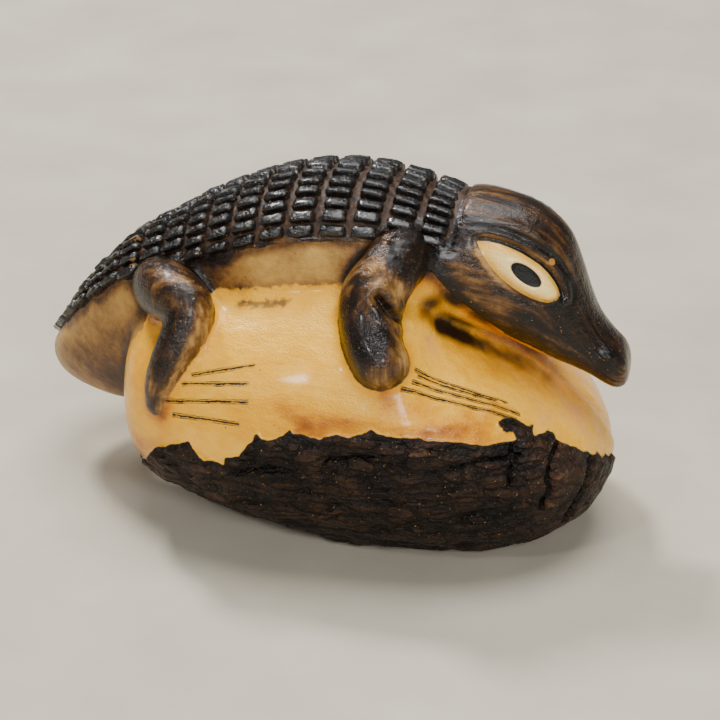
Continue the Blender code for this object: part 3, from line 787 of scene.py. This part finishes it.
def stained_parts(points, at):
    """How far inside the edge of the stain each point is, and how the streaks flow on the nearest part."""
    y = points[:, 1]
    parts = np.stack([at.shell, jaw_depth(points), 0.15 - at.front_off, 0.12 - at.hind_off])
    flows = np.stack([
        np.stack([at.place * 0.3, at.turn * 7.0, np.full_like(y, 3.0)], axis=1),
        np.stack([at.head_along * 0.16, at.head_up * 14.0, y], axis=1),
        np.stack([at.front_along * 0.3 + 40.0, at.front_ahead * 2.6, y], axis=1),
        np.stack([at.hind_along * 0.3 + 80.0, at.hind_ahead * 2.2, y], axis=1),
    ])
    return parts.max(axis=0), flows[parts.argmax(axis=0), np.arange(len(points))]


def tone_and_amber_with_shade(points, at):
    """How far the stain was rubbed and how amber the seed is, with the shade that is painted into both."""
    x, y, _ = points.T
    tone, amber = tone_and_shade_spots(points)

    # Feet
    on_hind = step(at.hind_off, 0.6, 0.3) * step(at.hind_along, 6.0, 9.0)
    tone += on_hind * (0.85 * step(at.hind_ahead, 0.3, 0.7) - 0.25 * step(at.hind_ahead, 0.2, -0.4))
    on_front = step(at.front_off, 0.6, 0.3) * step(at.front_along, 4.0, 7.0)
    tone += on_front * (0.15 * step(-at.front_ahead, 0.45, 0.85) + 0.3 * step(at.front_ahead, 0.45, 0.85))

    # A pool of amber over the husk, and painted shade under the jaw: amber along its underside, darker tone
    # towards the neck, and a little amber on the nut below the jaw's edge
    pool = bell(at.husk, -1.0, 1.4) * step(bumps(points * (0.22, 0.6, 0.6), 1.6, 23), -0.35, 0.15)
    amber += (0.65 - 0.2 * step(x, 8, 12)) * pool * step(y, -4, -8)
    jaw = jaw_depth(points)
    under_jaw = np.where(jaw > -3, bell(jaw, -0.2, 0.9), 0.0)
    amber += under_jaw * (0.85 - 0.5 * step(x, 11, 17))
    tone -= 0.6 * under_jaw * step(x, 17, 9)
    amber += np.where(jaw > -4.0, step(jaw, 0.3, -0.8) * step(x, 5.0, 8.0), 0.0) * 0.12

    # Lids
    lower_lid = step(-at.eye_up, 0.2, 0.9) * bell(at.eye, -0.15, 0.3)
    tone += lower_lid * (1.1 - 0.9 * step(at.eye_along, -2.0, 2.5))
    tone += step(at.eye_up, -0.2, 0.7) * (0.5 * bell(at.eye, -0.45, 0.22) - 0.6 * bell(at.eye, -1.25, 0.25))
    return tone, amber


def carve(skin):
    """Moves the skin into its finer carving, and notes on it where each finish goes."""
    mesh = skin.data
    points = points_of(mesh)
    eye_along, eye_out, eye_up = eye_places(points)
    near_eye = (np.abs(eye_along) < 6.8) & (np.abs(eye_up) < 4.2) & (eye_out > -EYE_SOCKET)
    near_rim = np.abs(husk_depth(points)) < 0.9
    refine(mesh, near_eye | near_rim | (off_crease(points) < 1.8))

    points = points_of(mesh)
    at = measured(points)
    points = points + grooves_and_ridges(points, at)[:, None] * vectors(mesh.vertex_normals, "vector")
    points += domed_eyes(points, at)
    points[:, 2] = np.maximum(points[:, 2], FOOT_DEPTH)
    set_points(mesh, points)

    stain, flow = stained_parts(points, at)
    tone, amber = tone_and_amber_with_shade(points, at)
    front_claws, front_reach = claw_offsets(points, FRONT_CLAWS, FAR_LEG_DROP[0])
    hind_claws, hind_reach = claw_offsets(points, HIND_CLAWS, FAR_LEG_DROP[1])
    ahead = points[:, 0] > -1.0
    # hollow is what the finishes use to paint shade into creases
    note(mesh, husk=at.husk, split=at.split, crust=at.crust, hollow=hollows(mesh, points, 14))
    note(mesh, eye=at.eye, pupil=at.pupil, lid=at.eye_up, black=at.wedge, bare=at.bare)
    note(mesh, wash=wash_depth(points, at.out), stain=stain, flow=flow, ground=at.ground)
    # tone and amber carry painted shade from the spot table and under the jaw, beside the stain's rubbing and
    # the seed's own amber
    note(mesh, tone=tone, amber=amber, reach=np.where(ahead, front_reach, hind_reach))
    note(mesh, claws=np.where(ahead, front_claws, hind_claws).T)


# ---------------------------------------------------------------- the scutes


def colour(code):
    """A sRGB hex code as linear light."""
    parts = [int(code[i : i + 2], 16) / 255 for i in (1, 3, 5)]
    return (*[c / 12.92 if c <= 0.04045 else ((c + 0.055) / 1.055) ** 2.4 for c in parts], 1.0)


def feed(tree, socket, value):
    """Gives an input its plain value, or links it from a socket or from a node's own output."""
    if isinstance(value, bpy.types.Node):
        value = next(out for out in value.outputs if out.enabled)
    if isinstance(value, bpy.types.NodeSocket):
        tree.links.new(value, socket)
    else:
        socket.default_value = value


def add(tree, kind, inputs=None, stops=(), **settings):
    """Adds a node with its settings, its links and the stops of its ramp."""
    node = tree.nodes.new(kind)
    for name, value in settings.items():
        setattr(node, name, value)
    for k, (place, code) in enumerate(stops):
        stop = node.color_ramp.elements[k] if k < 2 else node.color_ramp.elements.new(place)
        stop.position, stop.color = place, colour(code)
    for place, value in (inputs or {}).items():
        feed(tree, node.inputs[place], value)
    return node


def scute_plan():
    """One face for the foot of each scute, just under the skin of the back, with how tall each is to be."""
    chance = random.Random(4)
    places, turns, tall, outer = [], [], [], []
    start = FIRST_ROW
    for rows, columns, first_pitch, last_pitch in SCUTE_GROUPS:
        for pitch in np.linspace(first_pitch, last_pitch, rows):
            share = pitch / SCUTE_GROUPS[0][2]
            cover = spine_frames(np.array([start + pitch / 2]))[3][0]
            width = 2 * cover / columns
            cuts = [-cover + width * (k + chance.uniform(-0.1, 0.1)) for k in range(columns + 1)]
            for left, right in zip(cuts[:-1], cuts[1:]):
                gap = ROW_GAP * share / 2
                for place, turn in ((0, left), (0, right), (1, right), (1, left)):
                    wander = chance.uniform(-0.06, 0.06) * share
                    places.append(start + (pitch - gap if place else gap) + wander)
                    turns.append(turn + (0.03 if turn == left else -0.03) * width)
                    outer.append(1.0 if abs(turn) == max(abs(left), abs(right)) else -1.0)
                height = SCUTE_HEIGHT * (0.45 + 0.55 * share) * chance.uniform(0.86, 1.06)
                tall.append((height + SCUTE_ROOT) * MM)
            start += pitch
    feet = on_body(np.array(places), np.array(turns), -SCUTE_ROOT)
    plan = make_object("scutes", feet, [tuple(range(4 * k, 4 * k + 4)) for k in range(len(tall))])
    plan.data.attributes.new("tall", "FLOAT", "FACE").data.foreach_set("value", tall)
    plan.data.attributes.new("outer", "FLOAT", "POINT").data.foreach_set("value", outer)
    return plan


def scute_tree():
    """Turns each face into a closed block that narrows upwards, tips over the next one and is worn round."""
    tree = bpy.data.node_groups.new("scutes", "GeometryNodeTree")
    sizes = {
        "Narrowing": 0.88, "Overhang": 0.2 * MM, "Roundness": 0.42, "Wear": 0.42 * MM, "Wear size": 0.75 * MM,
    }
    tree.interface.new_socket("Geometry", in_out="INPUT", socket_type="NodeSocketGeometry")
    for name, value in sizes.items():
        tree.interface.new_socket(name, in_out="INPUT", socket_type="NodeSocketFloat").default_value = value
    tree.interface.new_socket("Material", in_out="INPUT", socket_type="NodeSocketMaterial")
    tree.interface.new_socket("Geometry", in_out="OUTPUT", socket_type="NodeSocketGeometry")
    given = add(tree, "NodeGroupInput").outputs
    tall, outer = (
        add(tree, "GeometryNodeInputNamedAttribute", {"Name": name}, data_type="FLOAT")
        for name in ("tall", "outer")
    )
    normal = add(tree, "GeometryNodeInputNormal")
    raised = {"Mesh": given["Geometry"], "Offset Scale": tall, "Individual": True}
    block = add(tree, "GeometryNodeExtrudeMesh", raised)
    top = block.outputs["Top"]
    kept = {"Geometry": block.outputs["Mesh"], "Name": "rise", "Value": top}
    noted = add(tree, "GeometryNodeStoreNamedAttribute", kept, data_type="FLOAT", domain="POINT")
    scaled = {"Geometry": noted, "Selection": top, "Scale": given["Narrowing"]}
    narrowed = add(tree, "GeometryNodeScaleElements", scaled)
    reach = add(tree, "ShaderNodeMath", {0: outer, 1: given["Overhang"]}, operation="MULTIPLY")
    tip = add(tree, "ShaderNodeVectorMath", {0: normal, "Scale": reach}, operation="SCALE")
    tipped = add(tree, "GeometryNodeSetPosition", {"Geometry": narrowed, "Selection": top, "Offset": tip})
    foot = add(tree, "GeometryNodeFlipFaces", {"Mesh": given["Geometry"]})
    both = add(tree, "GeometryNodeJoinGeometry", {"Geometry": tipped})
    tree.links.new(foot.outputs[0], both.inputs[0])
    closed = add(tree, "GeometryNodeMergeByDistance", {"Geometry": both, "Distance": 0.001 * MM})
    rounding = {"Mesh": closed, "Level": 2, "Edge Crease": given["Roundness"]}
    smooth = add(tree, "GeometryNodeSubdivisionSurface", rounding)
    size = add(tree, "ShaderNodeMath", {0: 1.0, 1: given["Wear size"]}, operation="DIVIDE")
    grain = add(tree, "ShaderNodeTexNoise", {"Scale": size, "Detail": 2.0}, noise_dimensions="3D")
    centred = add(tree, "ShaderNodeMath", {0: grain, 1: 0.5}, operation="SUBTRACT")
    depth = add(tree, "ShaderNodeMath", {0: centred, 1: given["Wear"]}, operation="MULTIPLY")
    dent = add(tree, "ShaderNodeVectorMath", {0: normal, "Scale": depth}, operation="SCALE")
    worn = add(tree, "GeometryNodeSetPosition", {"Geometry": smooth, "Offset": dent})
    shaded = add(tree, "GeometryNodeSetShadeSmooth", {"Geometry": worn})
    realised = add(tree, "GeometryNodeRealizeInstances", {"Geometry": shaded})
    finished = add(tree, "GeometryNodeSetMaterial", {"Geometry": realised, "Material": given["Material"]})
    add(tree, "NodeGroupOutput", {"Geometry": finished})
    return tree


def make_scutes(material):
    scutes = scute_plan()
    work = scutes.modifiers.new("scutes", "NODES")
    work.node_group = scute_tree()
    for item in work.node_group.interface.items_tree:
        if item.name == "Material":
            work[item.identifier] = material
    scutes.data = plain_mesh(scutes)
    scutes.modifiers.clear()
    off = np.min([lengths(points_of(scutes.data) - chip) for chip in CHIPS], axis=0)
    note(scutes.data, chip=CHIP_RADIUS - off)
    return scutes


# ---------------------------------------------------------------- the finishes


def start_material(name, notes, marks):
    """A material, with what the carving noted and noises by the size in mm of their marks, all by name."""
    material = bpy.data.materials.new(name)
    material.use_nodes = True
    tree = material.node_tree
    place = add(tree, "ShaderNodeTexCoord").outputs["Object"]
    at = {"mm": add(tree, "ShaderNodeVectorMath", {0: place, "Scale": 1 / MM}, operation="SCALE")}
    at["along"] = add(tree, "ShaderNodeVectorMath", {0: at["mm"], 1: ALONG_NUT}, operation="MULTIPLY")
    for note_name in notes:
        outputs = add(tree, "ShaderNodeAttribute", attribute_name=note_name).outputs
        at[note_name] = outputs["Vector" if note_name == "flow" else "Fac"]
    for mark, source, size, detail in marks:
        pattern = {"Vector": at[source], "Scale": 1 / size, "Detail": detail}
        at[mark] = add(tree, "ShaderNodeTexNoise", pattern)
    return material, tree, at


def work_out(tree, at, sums=(), edges=(), paints=()):
    """Adds named values: weighted sums, soft edges between two values, and paints that follow a value."""
    for name, start, terms in sums:
        total = start
        for source, weight in terms.items():
            parts = {0: at[source], 1: weight, 2: total}
            total = add(tree, "ShaderNodeMath", parts, operation="MULTIPLY_ADD")
        at[name] = total
    for name, source, low, high in edges:
        span = {"Value": at[source], "From Min": low, "From Max": high}
        at[name] = add(tree, "ShaderNodeMapRange", span, interpolation_type="SMOOTHSTEP")
    for name, source, stops in paints:
        at[name] = add(tree, "ShaderNodeValToRGB", {"Fac": at[source]}, stops)


def finish(material, at, coats, depth, plain):
    """Lays coats over each other, each where its mask is, and hands the result to the shader.

    A coat is its mask, paint, roughness, gloss of the wax and how far light goes in. The first is all over.
    """
    tree = material.node_tree
    shader = tree.nodes["Principled BSDF"]
    values = {}
    for where, *coat in coats:
        for socket, value in zip(("Base Color", "Roughness", "Coat Weight", "Subsurface Weight"), coat):
            if isinstance(value, str):
                value = at[value] if value in at else colour(value)
            if where and value is not None:
                under, over, kind = (6, 7, "RGBA") if socket == "Base Color" else (2, 3, "FLOAT")
                inputs = {0: at[where], under: values[socket], over: value}
                value = add(tree, "ShaderNodeMix", inputs, data_type=kind)
            values[socket] = values[socket] if value is None else value
    values["Roughness"] = add(
        tree, "ShaderNodeMath", {0: at["uneven"], 1: values["Roughness"]}, operation="ADD", use_clamp=True
    )
    relief = {"Height": at["relief"], "Distance": depth * MM, "Strength": 1.0}
    values["Normal"] = add(tree, "ShaderNodeBump", relief)
    for socket, value in {**values, **plain}.items():
        feed(tree, shader.inputs[socket], value)
    return material


def palm_nut_husk():
    """The nut's outer skin, left as it grew: dull, cracked, nearly black, brown where it was handled, with
    painted shade in its cracks and painted highlight on its raised crust.
    """
    material, tree, at = start_material("dry_palm_nut_husk", ("crust", "split", "tone"), (
        ("cloud", "mm", 6.0, 2.0), ("patch", "mm", 1.6, 4.0), ("ragged", "mm", 0.5, 4.0),
        ("fleck", "mm", 0.22, 1.0), ("wrinkle", "along", 0.7, 4.0),
    ))
    # The husk is crazed into plates that lie along the nut
    parts = {0: at["patch"].outputs["Color"], 1: at["along"]}
    pushed = add(tree, "ShaderNodeVectorMath", parts, operation="ADD")
    sized = {"Vector": pushed, "Scale": 1 / PLATE_SIZE}
    plates = add(tree, "ShaderNodeTexVoronoi", sized, feature="DISTANCE_TO_EDGE")
    at["plate"] = plates.outputs["Distance"]
    work_out(tree, at, edges=(("sound", "plate", 0.0, 0.16), ("closed", "split", 0.02, 0.22)))
    work_out(tree, at, sums=(
        # The colour follows the relief: painted shade in the cracks, splits and low crust, painted highlight
        # on the raised crust and wrinkles
        ("shade", -1.19, {"crust": 0.6, "ragged": 0.6, "patch": 0.5, "wrinkle": 0.6, "cloud": 0.5,
                          "tone": 0.45, "sound": 0.15, "closed": 0.4}),
        ("relief", 0.0, {"sound": 0.35, "wrinkle": 1.0, "ragged": 0.6, "closed": 0.5}),
        ("uneven", -0.3, {"ragged": 0.6}),
    ), edges=(
        ("specks", "fleck", 0.73, 0.77),
    ), paints=(
        ("bark", "shade", ((0.1, "#060302"), (0.4, "#1A0F08"), (0.7, "#3A2415"), (1.0, "#785A3E"))),
    ))
    coats = ((None, "bark", 0.5, 0.0, 0.0), ("specks", "#A08048", None, None, None))
    return finish(material, at, coats, 0.7, {"IOR": 1.45, "Specular IOR Level": 0.25})


def carved_tagua():
    """Palm-nut ivory, filed, sanded and polished: warm cream with a soft inner glow and a waxy gloss.

    The animal is rubbed with brown-black stain, which the brush streaked along the forms and polishing wore
    thin. The edge of the husk below is cut through, so a thin dark line of it shows here.
    """
    notes = "husk eye pupil stain wash tone amber hollow ground lid reach black bare flow".split()
    material, tree, at = start_material("polished_tagua_ivory_stained_by_hand", notes, (
        ("cloud", "mm", 5.0, 2.0), ("patch", "mm", 1.6, 3.0), ("ragged", "mm", 0.55, 3.0),
        ("fleck", "mm", 0.22, 1.0), ("fine", "mm", 0.16, 2.0), ("grain", "along", 0.45, 4.0),
        ("streak", "flow", 0.75, 4.0),
    ))

    # How far it is to the nearest scratched claw, and to the nearest line cut above the eye
    claws = add(tree, "ShaderNodeAttribute", attribute_name="claws")
    apart = add(tree, "ShaderNodeSeparateColor", {"Color": claws.outputs["Color"]})
    work_out(tree, at, sums=(
        ("wobble", -0.17, {"ragged": 0.16, "patch": 0.18}),
    ), edges=(
        ("near_stain", "stain", -1.1, -0.05),
    ))
    for name, sources, offsets in (
        ("claw", (*apart.outputs, claws.outputs["Alpha"]), [at["wobble"]] * 4),
        ("lid_line", [at["eye"]] * 4, (0.12, 0.72, 1.02, 1.5)),
    ):
        at[name] = -FAR_OUT
        for source, offset in zip(sources, offsets):
            off = add(tree, "ShaderNodeMath", {0: source, 1: offset}, operation="ADD")
            off = add(tree, "ShaderNodeMath", {0: off}, operation="ABSOLUTE")
            at[name] = add(tree, "ShaderNodeMath", {0: off, 1: at[name]}, operation="MINIMUM")
    twin = add(tree, "ShaderNodeMath", {0: at["claw"], 1: 0.19}, operation="SUBTRACT")
    at["twin"] = add(tree, "ShaderNodeMath", {0: twin}, operation="ABSOLUTE")

    work_out(tree, at, sums=(
        # The seed's colour carries painted shade: more amber in creases, next to the stain's edge, and where
        # the amber note holds shade
        ("seed", -0.31, {"amber": 0.58, "cloud": 0.45, "patch": 0.4, "grain": 0.3, "hollow": 0.2,
                         "near_stain": 0.14}),
        # The stain's brush streaks and wear, with painted shade: darker in creases and where the tone is dark
        ("rubbed_and_shaded", -0.48, {"streak": 1.0, "cloud": 0.6, "ragged": 0.25, "tone": 0.48, "hollow": -0.4}),
        ("stain_edge", -0.12, {"ragged": 0.25, "stain": 1.0}),
        ("husk_edge", -0.1, {"ragged": 0.2, "husk": 1.0}),
        ("wash_edge", -0.45, {"ragged": 0.9, "wash": 1.0}),
        # painted shade: dark where the tone is dark, as under the jaw and low on the tail's side
        ("shade_depth", -0.25, {"tone": -1.0, "patch": 0.5}),
        ("ink", -0.25, {"claw": 1.0, "ragged": 0.20, "fine": 0.17}),
        ("echo", -0.10, {"twin": 1.0, "patch": 0.15, "fine": 0.03}),
    ), edges=(
        ("on_stain", "stain_edge", -0.05, 0.07), ("on_husk", "husk_edge", -0.04, 0.04),
        ("on_eye", "eye", 0.02, 0.1), ("in_pupil", "pupil", -0.03, 0.03),
        ("on_wash", "wash_edge", -0.1, 0.25), ("painted_shade", "shade_depth", 0.15, 0.95),
        ("on_ground", "ground", 0.1, 0.4), ("on_bare", "bare", -0.05, 0.08),
        ("on_black", "black", -0.04, 0.06), ("above", "lid", 0.0, 0.7), ("cut", "lid_line", 0.12, 0.05),
        ("inked", "ink", 0.02, -0.02), ("echoed", "echo", 0.02, -0.01), ("shaded", "claw", 0.30, 0.05),
        ("reached", "reach", 0.3, 0.7), ("specks", "fleck", 0.74, 0.78), ("pits", "fleck", 0.235, 0.215),
    ))
    for name, mask, other, operation in (
        ("lid_cut", "cut", "above", "MULTIPLY"),
        ("drawn", "inked", "echoed", "MAXIMUM"),
        ("scratched", "drawn", "reached", "MULTIPLY"),
        ("dusted", "shaded", "reached", "MULTIPLY"),
        ("gold", "specks", "on_stain", "MULTIPLY"),
        ("brushed", "on_stain", "streak", "MULTIPLY"),
    ):
        at[name] = add(tree, "ShaderNodeMath", {0: at[mask], 1: at[other]}, operation=operation)
    work_out(tree, at, sums=(
        # Dirt on the flank and tail, with painted shade: darker in creases, where the tone is dark, and next
        # to the stain's edge
        ("dirt_and_shade", -0.17, {"cloud": 0.5, "patch": 0.4, "ragged": 0.3, "hollow": 1.2, "tone": -0.6,
                         "near_stain": 0.4}),
        ("uneven", -0.08, {"patch": 0.16}),
        ("eye_white", -0.1, {"eye": 0.4, "cloud": 0.6, "patch": 0.25}),
        ("dust", 0.0, {"dusted": 0.4}),
        ("relief", 0.0, {"fine": 0.16, "patch": 0.34, "grain": 0.2, "brushed": 0.22, "scratched": -0.25,
                         "on_husk": -0.2}),
    ))
    work_out(tree, at, paints=(
        # The ivory's darker, amber stops also paint the shade that the seed value carries
        ("ivory", "seed", ((0.0, "#ECAC5C"), (0.2, "#F8BA38"), (0.4, "#EEAC18"), (0.6, "#E0980A"),
                           (0.8, "#B86C0E"), (1.0, "#5C300E"))),
        ("soiled_and_shaded", "dirt_and_shade", ((0.2, "#C0964A"), (0.5, "#946A30"), (0.75, "#5A3816"), (1.0, "#1E1208"))),
        ("worn_and_shaded_stain", "rubbed_and_shaded", ((0.2, "#0A0706"), (0.42, "#1E130B"), (0.57, "#392412"), (0.75, "#6A4923"),
                                  (0.95, "#A68048"))),
        ("trough", "ragged", ((0.35, "#1A100A"), (0.65, "#4A321E"))),
        ("cream", "eye_white", ((0.2, "#C08A38"), (0.45, "#F0BC50"), (0.8, "#FCDC90"))),
    ))
    coats = (
        (None, "ivory", 0.20, 0.2, 0.22),
        # Painted shade, dark brown laid on the ivory where the tone is dark
        ("painted_shade", "#21130B", 0.45, 0.0, 0.0),
        # Soiled wash on the flank and tail, with painted shade in its creases and beside the stain
        ("on_wash", "soiled_and_shaded", 0.40, 0.1, 0.1),
        ("dust", "#6E4A1E", 0.4, 0.0, 0.0),
        ("scratched", "#120C09", 0.5, 0.0, 0.0),
        ("pits", "#2A180A", 0.6, 0.0, 0.0),
        # Stain, streaked and worn, with painted shade in its creases
        ("on_stain", "worn_and_shaded_stain", 0.19, 0.12, 0.0),
        ("on_ground", "trough", 0.55, 0.0, 0.0),
        ("lid_cut", "#0E0A08", 0.35, 0.1, 0.0),
        ("on_bare", "#A87838", 0.35, 0.1, 0.0),
        ("on_black", "#0A0807", 0.3, 0.2, 0.0),
        ("on_eye", "cream", 0.28, 0.3, 0.2),
        ("in_pupil", "#030202", 0.5, 0.0, 0.0),
        ("on_husk", "#0C0805", 0.8, 0.0, 0.0),
        ("gold", "#9C7A3E", None, None, None),
    )
    return finish(material, at, coats, 0.45, {
        "IOR": 1.54, "Specular IOR Level": 0.29, "Coat Roughness": 0.12, "Coat IOR": 1.5,
        "Subsurface Radius": (1.0, 0.5, 0.18), "Subsurface Scale": 1.2 * MM,
    })


def stained_scutes():
    """The scutes took the stain most thickly and were polished: wet-looking black, with brown in the cuts."""
    material, tree, at = start_material("polished_black_stained_tagua", ("rise", "chip"), (
        ("cloud", "mm", 4.0, 2.0), ("patch", "mm", 0.9, 3.0), ("fine", "mm", 0.28, 3.0),
        ("fleck", "mm", 0.24, 1.0),
    ))
    work_out(tree, at, sums=(
        ("shade", -0.38, {"rise": 0.35, "patch": 0.9, "fine": 0.45, "cloud": 0.3}),
        ("chip_edge", 0.0, {"chip": 1.0, "fine": 0.5}),
        ("relief", 0.0, {"fine": 0.8, "patch": 1.0}),
        ("uneven", -0.3, {"patch": 0.6}),
    ), edges=(
        ("specks", "fleck", 0.70, 0.76), ("chipped", "chip_edge", 0.22, 0.3),
    ), paints=(
        ("polish", "shade", ((0.2, "#5A3C20"), (0.4, "#32241A"), (0.6, "#1A1412"), (0.85, "#08080A"))),
    ))
    coats = (
        (None, "polish", 0.30, 0.45, 0.0),
        ("specks", "#9C7A3E", None, None, None),
        ("chipped", "#8A6A3C", 0.6, 0.0, None),
    )
    wax = {"IOR": 1.54, "Specular IOR Level": 0.35, "Coat Roughness": 0.12}
    return finish(material, at, coats, 0.22, wax)


def matt_board():
    """Pale card under the carving: no gloss, and a grain too faint to draw the eye."""
    grain = (("cloud", "mm", 14.0, 3.0), ("fine", "mm", 0.5, 2.0))
    material, tree, at = start_material("pale_matt_card", (), grain)
    work_out(tree, at, sums=(
        ("uneven", 0.0, {"cloud": 0.02}), ("relief", 0.0, {"fine": 0.1}),
    ), paints=(
        ("card", "cloud", ((0.3, "#B4AB98"), (0.7, "#C0B8A6"))),
    ))
    return finish(material, at, ((None, "card", 0.9, 0.0, 0.0),), 0.2, {})


# ---------------------------------------------------------------- the studio


CAMERA_TURN, CAMERA_RISE, CAMERA_OFF = math.radians(12.0), math.radians(25.0), 0.260
CAMERA_AIM = Vector((-1.2, 0.23, 15.72))
ORBIT = Vector((0, 0, 17.5))  # what the camera stands off from
FLOOR_REACH = 5000.0  # so far that its edge stays out of low views
LIGHTS = (  # place in m, size in m, watts
    ("window", (-0.22, 0.20, 0.42), 0.09, 2.5),
    ("ceiling", (0.05, 0.02, 0.55), 0.36, 2.9),
    ("front", (0.19, -0.45, 0.27), 0.13, 1.7),
    ("lamp", (-0.17, -0.36, 0.30), 0.045, 0.45),
)


def turn_to(thing, place):
    """Turns a camera or a lamp to face the place."""
    thing.rotation_euler = (Vector(place) - thing.location).to_track_quat("-Z", "Y").to_euler()


def make_camera(shift):
    """A long lens, a little above the carving and a little towards its snout."""
    flat = math.cos(CAMERA_RISE)
    back = Vector((math.sin(CAMERA_TURN) * flat, -math.cos(CAMERA_TURN) * flat, math.sin(CAMERA_RISE)))
    camera = in_scene("camera", bpy.data.cameras.new("camera"))
    camera.location = ORBIT * MM + shift + back * CAMERA_OFF
    turn_to(camera, CAMERA_AIM * MM + shift)
    camera.data.lens = 139.0
    camera.data.sensor_width = 36.0
    camera.data.clip_start = 0.01
    bpy.context.scene.camera = camera


def make_floor():
    corners = np.array(((-1, -1, 0), (1, -1, 0), (1, 1, 0), (-1, 1, 0))) * FLOOR_REACH
    floor = make_object("floor", corners, [(0, 1, 2, 3)])
    floor.data.materials.append(matt_board())


def light_studio():
    world = bpy.data.worlds.new("studio")
    bpy.context.scene.world = world
    world.use_nodes = True
    sky = world.node_tree.nodes["Background"]
    sky.inputs["Color"].default_value = (1.0, 1.0, 1.0, 1.0)
    sky.inputs["Strength"].default_value = 0.20
    for name, place, size, power in LIGHTS:
        light = bpy.data.lights.new(name, "AREA")
        light.shape = "DISK"
        light.size = size
        light.energy = power
        lamp = in_scene(name, light)
        lamp.location = place
        turn_to(lamp, (0, 0, 0.015))


def main():
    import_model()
    skin = one_skin()
    carve(skin)
    skin.data.shade_smooth()
    skin.data.materials.append(carved_tagua())
    skin.data.materials.append(palm_nut_husk())
    husk = np.array([value.value for value in skin.data.attributes["husk"].data])
    for face in skin.data.polygons:
        face.material_index = int(husk[list(face.vertices)].min() > HUSK_EDGE)
    scutes = make_scutes(stained_scutes())
    low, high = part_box(NODE)
    middle = (low + high) / 2
    shift = Vector((middle.x, middle.y, low.z)) - Vector((*WORK_MIDDLE, FOOT_DEPTH)) * MM
    for piece in (skin, scutes):
        piece.data.transform(Matrix.Translation(shift))
        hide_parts(NODE)
        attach(piece, "root")
    make_camera(shift)
    make_floor()
    light_studio()


main()
